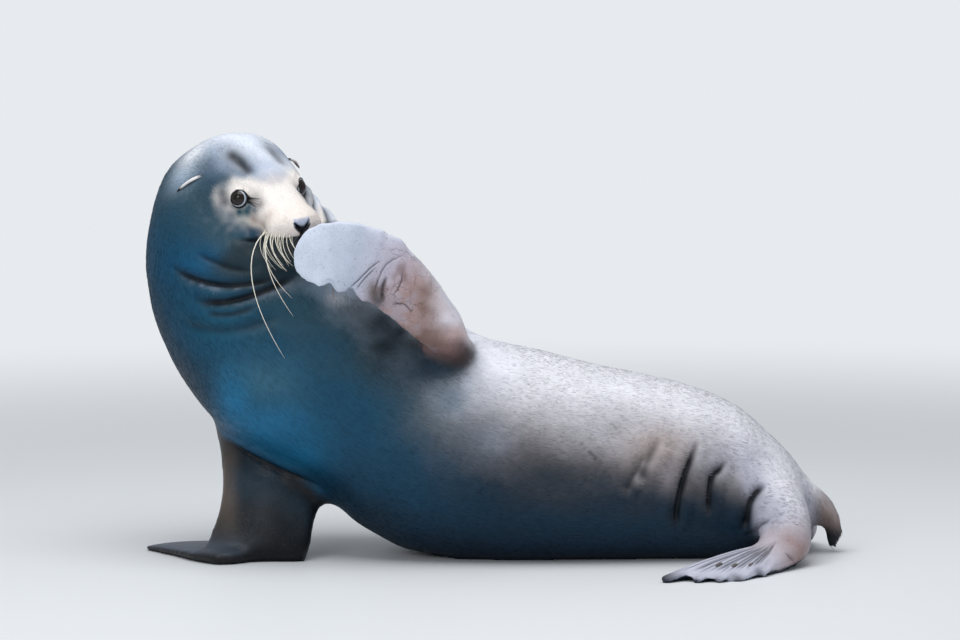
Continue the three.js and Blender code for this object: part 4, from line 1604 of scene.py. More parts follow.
    def _propping(self, place: Places, points: Array, sky: Array) -> Array:
        """The propping flipper: nearly black, with a tan streak down its front edge, and painted sky sheen
        where it faces up, palest on the hand.

        Args:
            place: the straightened coordinates around it.
            points: the points.
            sky: how far each faces the sky.

        Returns:
            The colour at each point.
        """
        base = self.ramp(place.along, (
            (0.14, self.throat), (0.24, (0.003, 0.006, 0.009)), (0.36, (0.002, 0.003, 0.005)),
            (0.46, (0.006, 0.008, 0.012)), (0.58, (0.020, 0.020, 0.024)),
        ))
        streak = smoothstep(-0.582, -0.610, points[:, 0]) * bell(points[:, 2] - 0.125, 0.070)
        base = mixed(base, (0.125, 0.098, 0.082), 0.9 * streak)
        middle = bell(points[:, 0] + 0.545, 0.014) * bell(points[:, 2] - 0.10, 0.045)
        base = mixed(base, (0.030, 0.030, 0.034), 0.5 * middle)
        # painted sky sheen on the faces turned up, palest on the hand
        lit = ((0.2, self.chest), (0.36, (0.03, 0.04, 0.05)), (0.48, (0.10, 0.12, 0.16)))
        sheen = self.ramp(place.along, lit)
        return mixed(base, sheen, 0.85 * smoothstep(0.1, 0.8, sky))

    def _foot(self, place: Places, points: Array, sky: Array, leg: str) -> Array:
        """A hind flipper: mauve grey, brown at the heel and dark at the toes' ends, with painted sky sheen
        where it faces up and painted shade where it faces down.

        Args:
            place: the straightened coordinates around it.
            points: the points.
            sky: how far each faces the sky.
            leg: the leg's key.

        Returns:
            The colour at each point.
        """
        base = self.ramp(place.along, (
            (0.10, (0.46, 0.46, 0.54)), (0.15, (0.46, 0.44, 0.51)), (0.21, self.sole), (0.28, self.toes),
        ))
        blotch = cloud_noise(points, 0.026, 6.0)
        heel = spot(points, Toes.on_leg([(0.392, -0.190, 0.030)], leg)[0], 0.048)
        base = mixed(base, (0.30, 0.185, 0.165), np.clip(0.85 * heel * (1 + 0.4 * blotch), 0.0, 1.0))
        # painted sky sheen on the faces turned up, except at the heel
        with_sky_sheen = mixed(base, (0.54, 0.54, 0.62), 0.45 * smoothstep(0.2, 0.9, sky) * (1.0 - heel))
        for i, tip in enumerate(Toes.on_leg(Toes().tips, leg)):
            reach, strength = (0.036, 1.0) if i == 0 else (0.012, 0.80)
            with_sky_sheen = mixed(with_sky_sheen, self.tip, strength * spot(points, tip, reach))
        # painted shade on the faces turned down
        return mixed(with_sky_sheen, self.belly, smoothstep(-0.1, -0.5, sky))


@dataclass
class Survey:
    """What is known at each vertex of the skin: its straightened place, its colour and its cover."""

    skin: Skin
    markings: Markings = Markings()
    spine: Places = field(init=False)
    colour: Array = field(init=False)
    bare: Array = field(init=False)
    furless: Array = field(init=False)
    open: Array = field(init=False)  # furless, or in a fold where tufts would stand up

    def take(self) -> None:
        """Works everything out and stores what the materials read on the skin."""
        piece = self.skin.piece
        points = places_of(piece)
        edges = edges_of(piece)
        normals = unit(relaxed(normals_of(piece), edges, 0.5, 12))
        local = self.skin.head.local(points)
        self.spine = SPINE.around(points)
        places = {name: limb.track.around(points) for name, limb in LIMBS.items()}
        shares = {}
        for name, limb in LIMBS.items():
            near = smoothstep(0.016, 0.004, off_node(self.skin.nodes, limb.node, points))
            shares[name] = near * smoothstep(limb.bare_from, limb.bare_from + 0.06, places[name].along)
        self.bare = np.max(list(shares.values()), axis=0)
        patches = cloud_noise(points, 0.06, 11.0)
        ragged = cloud_noise(points, 0.012, 4.0)
        # how far each point faces the way the painted sky sheen falls from; the colours paint light and shade
        # by it
        sky = normals @ unit(np.array(self.markings.sky)) + 0.10 * patches + 0.05 * ragged
        colour = self.markings.body(points, sky)
        colour = self._body_patches(colour, points, sky, 1 + 0.2 * patches)
        colour = self._head_patches(colour, local, patches)
        colour = self.markings.face(colour, local, ragged + 0.5 * patches)
        colour = self.markings.limbs(colour, places, points, sky, shares)
        colour = self._spots(colour, local)
        eye_rim = smoothstep(0.125, 0.075, self.skin.lid_angle)
        colour = mixed(colour, self.markings.lid, eye_rim)
        # painted shade in the creases
        colour = mixed(colour, self.markings.groove, np.clip(0.85 * self.skin.shade, 0.0, 0.97))
        self.colour = np.clip(colour, 0.0, 1.0)
        off_head = np.linalg.norm(local, axis=1)
        pad = smoothstep(0.112, 0.119, local[:, 0]) * smoothstep(0.022, 0.018, np.abs(local[:, 1]))
        pad *= smoothstep(0.010, 0.005, local[:, 2]) * smoothstep(0.160, 0.150, off_head)
        self.furless = np.clip(self.bare + eye_rim + pad, 0.0, 1.0)
        self.open = self.furless + smoothstep(0.10, 0.30, self.skin.shade)
        face = smoothstep(-0.06, 0.02, local[:, 0]) * smoothstep(0.20, 0.15, off_head)
        raised = places["raised"].along
        wrist = smoothstep(0.15, 0.21, raised) * smoothstep(0.35, 0.30, raised) * shares["raised"]
        face = np.where(self.bare > 0.5, wrist, face * (1.0 - self.bare))
        # the colours stored here include painted sky sheen and painted shade
        write_colours(piece, "surface_colour", self.colour)
        shade = np.clip(self.skin.shade, 0.0, 1.0)
        write_colours(piece, "cover", np.stack([self.furless, face, shade, self._even(edges)], 1))
        write_vectors(piece, "lie", self.spine.lie())
        limb_lie = np.zeros((len(points), 3))
        for name, where in places.items():
            chosen = (shares[name] >= self.bare - 1e-6) & (shares[name] > 0)
            limb_lie[chosen] = where.lie()[chosen]
        write_vectors(piece, "limb_lie", limb_lie)

    def _even(self, edges: Array) -> Array:
        """1 where the straightened places run on evenly, and 0 where they jump to another stretch."""
        jump = np.abs(self.spine.along[edges[:, 0]] - self.spine.along[edges[:, 1]]) > 0.05
        even = np.ones((len(self.spine.along), 1))
        even[edges[jump].ravel()] = 0.0
        return smoothstep(0.75, 1.0, relaxed(even, edges, 0.5, 3)[:, 0])

    def _body_patches(self, colour: Array, points: Array, sky: Array, ragged: Array) -> Array:
        """Stretches of the body's coat: brown ones, painted shade lit by blue reflected light on the neck and
        chest, painted shadow under the raised flipper and at the hip, and painted sky sheen on the haunch.

        Args:
            colour: the colours so far.
            points: the points.
            sky: how far each faces the sky.
            ragged: a factor about 1 that makes the edges uneven.

        Returns:
            The new colours.
        """
        upright = points[:, [0, 2]]
        left = smoothstep(0.06, -0.05, points[:, 1])
        colour = patched(colour, upright, self.markings.left_patches, left * ragged)
        colour = patched(colour, upright, self.markings.side_patches, ragged)
        # painted sky sheen on the haunch, outside the belly's painted shade
        lit_haunch = smoothstep(0.302, 0.328, points[:, 0] + 0.30 * (points[:, 2] - 0.10))
        lit_haunch *= smoothstep(0.035, 0.060, points[:, 2]) * smoothstep(0.46, 0.42, points[:, 0])
        pale = mixed((0.47, 0.47, 0.56), self.markings.back, smoothstep(0.3, 0.9, sky))
        colour = mixed(colour, pale, 0.9 * lit_haunch)
        heel = spot(upright, (0.402, 0.040), 1.0, (0.024, 0.036))
        colour = mixed(colour, (0.36, 0.235, 0.215), 0.85 * heel)
        # painted shadow under the belly, before the haunch
        hip_shadow = spot(points, (0.225, -0.14, 0.078), 0.045, (1.2, 1.0, 1.0))
        colour = mixed(colour, (0.004, 0.020, 0.036), 0.7 * hip_shadow)
        tail = smoothstep(0.43, 0.46, points[:, 0])
        colour = mixed(colour, (0.27, 0.19, 0.165), 0.60 * tail * smoothstep(0.14, 0.10, points[:, 2]))
        return mixed(colour, self.markings.tip, tail * smoothstep(0.060, 0.030, points[:, 2]))

    def _head_patches(self, colour: Array, local: Array, patches: Array) -> Array:
        """The head's patches, with painted sheen among them, the painted shade in the furrows over the brows
        and the brown of the nape.

        Args:
            colour: the colours so far.
            local: the points in the head's frame.
            patches: broad noise from about -1 to 1.

        Returns:
            The new colours.
        """
        ahead, across, high = folded(local).T
        colour = patched(colour, folded(local), self.markings.head_patches, 1 + 0.25 * patches)
        # painted shade in the furrows over the brows
        furrow_shade = bell(across - 0.040, 0.016) * bell(ahead + 0.045, 0.050) * smoothstep(0.02, 0.05, high)
        colour = mixed(colour, (0.065, 0.070, 0.090), 0.60 * furrow_shade)
        nape = smoothstep(-0.10, -0.13, ahead) * smoothstep(0.0, 0.04, local[:, 1]) * bell(ahead + 0.15, 0.04)
        nape *= smoothstep(-0.02, 0.03, high) * smoothstep(-0.3, 0.5, patches)
        return mixed(colour, self.markings.brown, 0.4 * nape)

    def _spots(self, colour: Array, local: Array) -> Array:
        """The whiskers' follicles, in rows on the upper lip."""
        for root in Whiskers().roots():
            colour = mixed(colour, self.markings.groove, 0.7 * spot(folded(local), root, 0.0013))
        return colour


# ---------------------------------------------------------------- finishes


@dataclass(frozen=True)
class WetSkin:
    """The skin's finish: short wet fur lying along the body, and bare wrinkled skin on flippers and nose."""

    name: str = "wet_skin"
    streak: float = 340.0
    grain: float = 900.0

    def build(self) -> bpy.types.Material:
        """Builds the material; colour, cover and lie are read from the mesh.

        Returns:
            The material.
        """
        kit = NodeKit(self.name)
        surface_colour = kit.attribute("surface_colour")
        bare, face, shade = kit.split(kit.attribute("cover"))
        lie = kit.attribute("lie", "Vector")
        limb = kit.attribute("limb_lie", "Vector")
        place = kit.object_place()
        even = kit.attribute("cover", "Alpha")
        streaks = self._laid(kit, even, lie, 0.16, self.streak)
        locks = self._laid(kit, even, lie, 0.30, 95.0)
        hairs = self._laid(kit, even, lie, 0.22, self.grain)
        mottle = kit.noise(place, 26.0, 4.0, 0.62, 0.3)
        freckle = kit.noise(place, 160.0)
        pores = kit.cells(kit.stretched(limb, (0.75, 1.0, 1.0)), 330.0)
        cracks = kit.cells(kit.stretched(limb, (0.5, 1.0, 1.0)), 150.0)
        wrinkles = kit.noise(kit.stretched(limb, (1.0, 0.3, 0.3)), 120.0, warp=1.2)
        furry = 1.0 - bare
        fur_tone = 0.70 + streaks * 0.34 + locks * 0.30 * (1.0 - face) + face * 0.13
        fur_tone = fur_tone * (0.86 + mottle * 0.28)
        plates = kit.cells(kit.warped(limb, 60.0, 0.016), 36.0)
        gaps = (1.0 - plates.step(0.0, 0.035)) * face * bare * mottle.step(0.44, 0.58)
        bare_tone = 0.72 + mottle * 0.42 + pores.step(0.0, 0.25) * 0.10 + cracks.step(0.0, 0.08) * 0.03
        bare_tone = bare_tone * (1.0 - gaps * 0.34)
        tone = fur_tone * furry + bare_tone * bare
        # painted shade in the creases darkens the tone
        tone = tone * (1.0 - shade * 0.25)
        colour = kit.brightened(surface_colour, tone)
        colour = kit.blend(freckle.step(0.60, 0.74) * bare * 0.35, colour, (0.05, 0.04, 0.04, 1.0))
        rough = (0.40 + streaks * 0.16) * furry + (0.36 + pores.step(0.0, 0.3) * 0.1) * bare
        rough = rough + face * furry * 0.14
        fur = kit.bump(streaks * (1.0 - face * 0.5) + locks * 0.9 * (1.0 - face), 0.0011, 0.55)
        fine = kit.bump(hairs, 0.0004, 0.5, fur)
        relief = pores.step(0.0, 0.35) * 0.35 + cracks.step(0.0, 0.12) * 0.25 + wrinkles - gaps * 0.8
        flipper = kit.bump(relief, 0.0009, 0.55)
        return kit.finish(
            Base_Color=colour,
            Roughness=rough,
            Normal=kit.blend_normals(bare, fine, flipper),
            Coat_Weight=(0.02 + streaks.step(0.4, 0.75) * 0.12) * (1.0 - face * 0.7),
            Coat_Roughness=0.24,
            Specular_IOR_Level=0.18,
        )

    @staticmethod
    def _laid(kit: NodeKit, even: Wire, lie: Wire, stretch: float, scale: float) -> Wire:
        """Noise drawn out along the lie of the coat, level where the lie jumps."""
        noisy = kit.noise(kit.stretched(lie, (stretch, 1.0, 1.0)), scale, warp=0.4)
        return (noisy - 0.5) * even + 0.5


@dataclass(frozen=True)
class WetTufts:
    """The tufts' finish, in the colours of the skin under them."""

    name: str = "wet_tufts"

    def build(self) -> bpy.types.Material:
        """Builds the material; colour is read from the mesh.

        Returns:
            The material.
        """
        kit = NodeKit(self.name)
        lie = kit.attribute("lie", "Vector")
        hairs = kit.noise(kit.stretched(lie, (0.12, 1.0, 1.0)), 1100.0, 2.0)
        colour = kit.brightened(kit.attribute("surface_colour"), 0.80 + hairs * 0.40)
        return kit.finish(
            Base_Color=colour,
            Roughness=0.38 + hairs * 0.16,
            Coat_Weight=0.05,
            Coat_Roughness=0.24,
            Specular_IOR_Level=0.18,
        )


@dataclass(frozen=True)
class EyeFinish:
    """A wet, dark brown eye with a thin pale rim of white."""

    name: str = "wet_eye"

    def build(self) -> bpy.types.Material:
        """Builds the material; the colour at each ring of the eye is read from the mesh.

        Returns:
            The material.
        """
        kit = NodeKit(self.name)
        iris = kit.split(kit.attribute("ring"))[1]
        fibres = kit.noise(kit.stretched(kit.attribute("spoke", "Vector"), (9.0, 1.4, 1.0)), 2.2, 4.0, 0.7)
        veins = kit.noise(kit.object_place(), 210.0, warp=1.0).step(0.56, 0.70)
        colour = kit.brightened(kit.attribute("surface_colour"), 1.0 + iris * (fibres - 0.5) * 1.5)
        colour = kit.blend(veins * (1.0 - iris) * 0.18, colour, (0.30, 0.05, 0.04, 1.0))
        return kit.finish(
            Base_Color=colour,
            Roughness=0.10 + 0.02 * fibres,
            Coat_Weight=0.5,
            Coat_Roughness=0.02,
            Specular_IOR_Level=0.1,
        )


@dataclass(frozen=True)
class Horn:
    """A small worn claw of brown-grey horn."""

    name: str = "worn_horn"

    def build(self) -> bpy.types.Material:
        """Builds the material.

        Returns:
            The material.
        """
        kit = NodeKit(self.name)
        place = kit.object_place()
        layers = kit.noise(kit.stretched(place, (0.4, 0.4, 3.0)), 260.0)
        wear = kit.noise(place, 120.0)
        colour = kit.blend(wear.step(0.45, 0.75), (0.10, 0.085, 0.080, 1.0), (0.24, 0.20, 0.18, 1.0))
        colour = kit.brightened(colour, 0.8 + layers * 0.4)
        return kit.finish(
            Base_Color=colour,
            Roughness=0.26 + wear * 0.2,
            Normal=kit.bump(layers, 0.0003, 0.5),
            Coat_Weight=0.3,
        )


@dataclass(frozen=True)
class WhiskerFinish:
    """A cream whisker, browner towards its root."""

    name: str = "whisker_horn"

    def build(self) -> bpy.types.Material:
        """Builds the material; the place along each whisker is read from the mesh.

        Returns:
            The material.
        """
        kit = NodeKit(self.name)
        grain = kit.noise(kit.object_place(), 420.0, 2.0, 0.5)
        colour = kit.brightened(kit.attribute("surface_colour"), 0.85 + grain * 0.3)
        return kit.finish(Base_Color=colour, Roughness=0.34 + grain * 0.1, Coat_Weight=0.2)


# ---------------------------------------------------------------- eyes


@dataclass(frozen=True)
class Eyeball:
    """One eyeball with its cornea, made of rings round the way it looks."""

    head: Head
    side: Side
    look: Point = (0.55, -0.78, 0.35)  # of the right eye, in the head's frame
    rings: int = 40
    spokes: int = 64
    pupil: float = math.radians(15)
    iris: float = math.radians(43)
    white: float = math.radians(45.5)
    bulge: float = 0.0009  # how far the cornea stands out
    inset: float = 0.0004  # how far the ball is set in from the lids' inner faces
    black: Colour = (0.002, 0.002, 0.002)
    brown: Colour = (0.013, 0.008, 0.007)
    dark_ring: Colour = (0.008, 0.006, 0.006)
    pale: Colour = (0.62, 0.68, 0.74)
    bluish: Colour = (0.20, 0.26, 0.33)

    def build(self, material: bpy.types.Material) -> bpy.types.Object:
        """Makes the eyeball and its colours.

        Args:
            material: the eye's finish.

        Returns:
            The finished piece.
        """
        frame = EyeFrame.of(self.head, Lids(gaze=self.look), self.side)
        tilts = np.linspace(0.0, math.pi, self.rings + 1)[1:-1]
        turns = np.arange(self.spokes) * 2 * math.pi / self.spokes
        tilt, turn = np.meshgrid(tilts, turns, indexing="ij")
        tilt = np.append(tilt, [0.0, math.pi])
        turn = np.append(turn, [0.0, 0.0])
        radius = self.head.eye_radius - self.inset + self.bulge * smoothstep(self.iris, 0.0, tilt)
        points = self.head.world(frame.centre + frame.direction(tilt, turn) * radius[:, None])
        faces = ring_faces(len(tilts), self.spokes)
        mesh = closed_mesh("eyeball", points, faces, len(tilts), self.spokes)
        piece = new_piece(f"eyeball_{self.side.label}", mesh)
        turn_outwards(piece)
        shade_smooth(piece)
        self._colour(piece, frame)
        piece.data.materials.append(material)
        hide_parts(f"eye_{self.side.label}")
        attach(piece, BODY)
        return piece

    def _colour(self, piece: bpy.types.Object, frame: EyeFrame) -> None:
        """Stores the colours of the pupil, iris and white, and where the iris's fibres run.

        Args:
            piece: the eyeball.
            frame: the eye's directions.
        """
        tilt, turn = frame.angles(self.head.local(places_of(piece)) - frame.centre)
        stops = (
            (0.0, self.black),
            (self.pupil, self.black),
            (self.pupil + 0.05, self.brown),
            (self.iris - 0.09, self.brown),
            (self.iris - 0.02, self.dark_ring),
            (self.iris + 0.025, self.pale),
            (self.white, self.pale),
            (self.white + 0.07, self.bluish),
            (self.white + 0.18, self.dark_ring),
            (math.pi, self.dark_ring),
        )
        iris = smoothstep(self.iris + 0.02, self.iris - 0.02, tilt)
        iris = iris * smoothstep(self.pupil, self.pupil + 0.04, tilt)
        write_colours(piece, "surface_colour", Markings.ramp(tilt, stops))
        write_colours(piece, "ring", np.stack([tilt / math.pi, iris, iris], 1))
        write_vectors(piece, "spoke", np.stack([np.cos(turn), np.sin(turn), tilt], 1))


# ---------------------------------------------------------------- ears


@dataclass(frozen=True)
class Ear:
    """A small rolled ear: a leaf of skin curled into a cone, open along its lower edge."""

    head: Head
    side: Side
    path: Line = (
        (-0.082, -0.082, 0.015), (-0.088, -0.094, 0.009), (-0.096, -0.107, -0.001),
        (-0.104, -0.118, -0.014), (-0.108, -0.124, -0.022),
    )
    radius: float = 0.0038
    thickness: float = 0.0013
    curl: float = math.radians(118)
    girths: tuple[tuple[float, float], ...] = (  # the share of the length, and how wide the roll is there
        (0.0, 0.35), (0.14, 0.85), (0.35, 1.10), (0.60, 1.0), (0.85, 0.62), (1.0, 0.06),
    )
    spokes: int = 36
    rings: int = 30

    def build(self, material: bpy.types.Material, markings: Markings) -> bpy.types.Object:
        """Makes the ear.

        Args:
            material: the skin's finish.
            markings: the animal's colours.

        Returns:
            The finished piece.
        """
        flip = np.array([1.0, -self.side.value, 1.0])
        line = rounded_line(np.array(self.path) * flip, 16)
        shares = np.linspace(0.0, 1.0, self.rings)
        places = rows_at(shares, np.linspace(0, 1, len(line)), line)
        heading = unit(np.gradient(places, axis=0))
        upward = unit(np.array([0.05, -0.30, 0.95]) * flip)
        over = unit(upward - heading * (heading @ upward)[:, None])
        aside = np.cross(heading, over)
        half = self.spokes // 2
        outer = np.linspace(-self.curl, self.curl, half)
        angles = np.append(outer, outer[::-1])
        girth = np.interp(shares, *np.array(self.girths).T)
        rings = []
        for i, share in enumerate(shares):
            reach = self.radius * girth[i]
            wall = min(self.thickness, 0.62 * reach)
            radii = np.repeat([reach, reach - wall], half)
            tall = np.cos(angles) * radii * (0.78 + 0.22 * share)
            wide = np.sin(angles) * radii * 0.95
            rings.append(places[i] + np.outer(tall, over[i]) + np.outer(wide, aside[i]))
        points = self.head.world(np.vstack([*rings, places[:1], places[-1:] + heading[-1:] * 0.0006]))
        faces = ring_faces(self.rings, self.spokes)
        mesh = closed_mesh("ear", points, faces, self.rings, self.spokes)
        piece = new_piece(f"ear_fold_{self.side.label}", mesh)
        turn_outwards(piece)
        move_to(piece, relaxed(places_of(piece), edges_of(piece), 0.4, 2))
        shade_smooth(piece)
        self._colour(piece, markings, places, over)
        piece.data.materials.append(material)
        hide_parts(f"ear_{self.side.label}")
        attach(piece, BODY)
        return piece

    def _colour(self, piece: bpy.types.Object, markings: Markings, places: Array, over: Array) -> None:
        """Pale along the outside and its edges, with painted shade on its underside and inside the roll, and
        darker towards its root.

        Args:
            piece: the ear.
            markings: the animal's colours.
            places: the points of its middle line.
            over: the way the back of the roll faces at each of them.
        """
        local = self.head.local(places_of(piece))
        nearest = np.argmin(np.linalg.norm(local[:, None, :] - places[None], axis=2), axis=1)
        lift = ((local - places[nearest]) * over[nearest]).sum(1)
        away = np.linalg.norm(local - places[nearest], axis=1)
        outside = smoothstep(self.radius * 0.60, self.radius * 0.85, away)
        # painted shade on the ear's underside: dark teal on the far ear, brown on the near one
        underside_shade = (0.07, 0.09, 0.12) if self.side is Side.RIGHT else (0.42, 0.31, 0.26)
        pale = mixed((0.72, 0.71, 0.72), underside_shade, smoothstep(0.0022, -0.0008, lift))
        pale = mixed(pale, (0.11, 0.13, 0.16), smoothstep(0.30, 0.0, nearest / self.rings))
        # painted shade inside the roll
        write_colours(piece, "surface_colour", mixed(markings.groove, pale, outside))
        write_colours(piece, "cover", np.tile((0.0, 1.0, 0.0), (len(local), 1)))
        write_vectors(piece, "lie", local)
        write_vectors(piece, "limb_lie", local)


# ---------------------------------------------------------------- whiskers


@dataclass(frozen=True)
class Whisker:
    """One whisker: where it leaves the lip, the way it starts and ends up pointing, and its length."""

    root: Point
    start: Point
    end: Point
    length: float
    radius: float
    bend: float = 1.0

    def line(self, steps: int = 18) -> Array:
        """Its middle line, in the head's frame."""
        shares = (np.arange(steps) + 0.5) / steps
        headings = unit(mixed(self.start, self.end, shares**self.bend))
        return np.vstack([self.root, self.root + np.cumsum(headings, axis=0) * self.length / steps])


@dataclass(frozen=True)
class Whiskers:
    """The whiskers of both sides, in rows on the upper lip."""

    rows: int = 2
    columns: int = 8
    sides: int = 6
    sink: float = 0.002  # how deep a whisker stands in the lip
    stops: tuple[float, ...] = (0.0, 0.35, 0.65, 0.85, 1.0)
    lip: Line = (
        (0.084, 0.047, -0.028), (0.101, 0.046, -0.027), (0.113, 0.038, -0.025), (0.120, 0.028, -0.023),
        (0.124, 0.018, -0.027),
    )
    cream: Colour = (0.90, 0.86, 0.74)
    dark: Colour = (0.50, 0.44, 0.36)
    long_ones: tuple[Whisker, ...] = (
        Whisker((0.086, 0.047, -0.028), (-0.18, 0.95, -0.31), (0.71, -0.42, -0.96), 0.243, 0.00115, 0.45),
        Whisker((0.097, 0.047, -0.028), (0.16, 0.58, -0.55), (0.74, -0.51, -0.96), 0.156, 0.00105, 0.60),
        Whisker((0.093, 0.047, -0.031), (0.12, 0.62, -0.60), (0.85, -0.72, -0.85), 0.128, 0.00095, 0.70),
    )

    def roots(self) -> list[Array]:
        """Where the short whiskers stand on the left lip, in the head's frame."""
        places = []
        for row in range(self.rows):
            for column in range(self.columns):
                share = (column + 0.5 * (row % 2)) / (self.columns - 0.5)
                places.append(rows_at(share, self.stops, self.lip) + (0.0, 0.0, 0.003 - 0.0050 * row))
        return places

    def build(self, skin: Skin, material: bpy.types.Material) -> bpy.types.Object:
        """Makes every whisker as a thin tapering tube, all in one piece.

        Args:
            skin: the skin that they stand in.
            material: their finish.

        Returns:
            The finished piece.
        """
        dice = np.random.default_rng(7)
        tree = tree_of(skin.piece)
        points, faces, colours = [], [], []
        for side in Side:
            flip = np.array([1.0, side.value, 1.0])
            for whisker in [*self.long_ones, *self._short_ones(dice)]:
                line = skin.head.world(whisker.line() * flip)
                foot = np.array(tree.find_nearest(Vector(line[0]))[0])
                line = line + (foot - line[0]) * np.linspace(1, 0.6, len(line))[:, None]
                line[0] -= unit(line[1] - line[0]) * self.sink
                count = sum(map(len, points))
                tube, tube_faces = tapered_tube(line, whisker.radius, self.sides)
                points.append(tube)
                faces.append(tube_faces + count)
                share = np.repeat(np.linspace(0, 1, len(line)), self.sides)
                tone = mixed(self.dark, self.cream, smoothstep(-0.12, 0.10, share))
                tip_tone = self.cream if side is Side.RIGHT else (0.30, 0.24, 0.18)
                colours.append(mixed(tone, tip_tone, smoothstep(0.1, 0.5, share)))
        piece = new_piece("whiskers", mesh_from("whiskers", np.vstack(points), np.vstack(faces)))
        turn_outwards(piece)
        write_colours(piece, "surface_colour", np.vstack(colours))
        shade_smooth(piece)
        piece.data.materials.append(material)
        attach(piece, BODY)
        return piece

    def _short_ones(self, dice: np.random.Generator) -> list[Whisker]:
        """The whiskers of the rows, longer towards the back.

        Args:
            dice: the source of the random numbers.

        Returns:
            One whisker for each root.
        """
        whiskers = []
        for root in self.roots():
            back = (self.lip[-1][0] - root[0]) / 0.040
            jitter = dice.normal(0.0, 0.10, 3)
            start = np.array([0.36 - 0.30 * back, 0.35 + 0.45 * back, -0.62]) + jitter
            end = np.array([0.80 - 0.10 * back, -0.62, -0.85]) + jitter * 2
            length = 0.048 + 0.040 * max(back, 0.0) * dice.uniform(0.7, 1.2)
            whiskers.append(Whisker(tuple(root), tuple(start), tuple(end), length, 0.00080, 0.8))
        return whiskers


# ---------------------------------------------------------------- coat


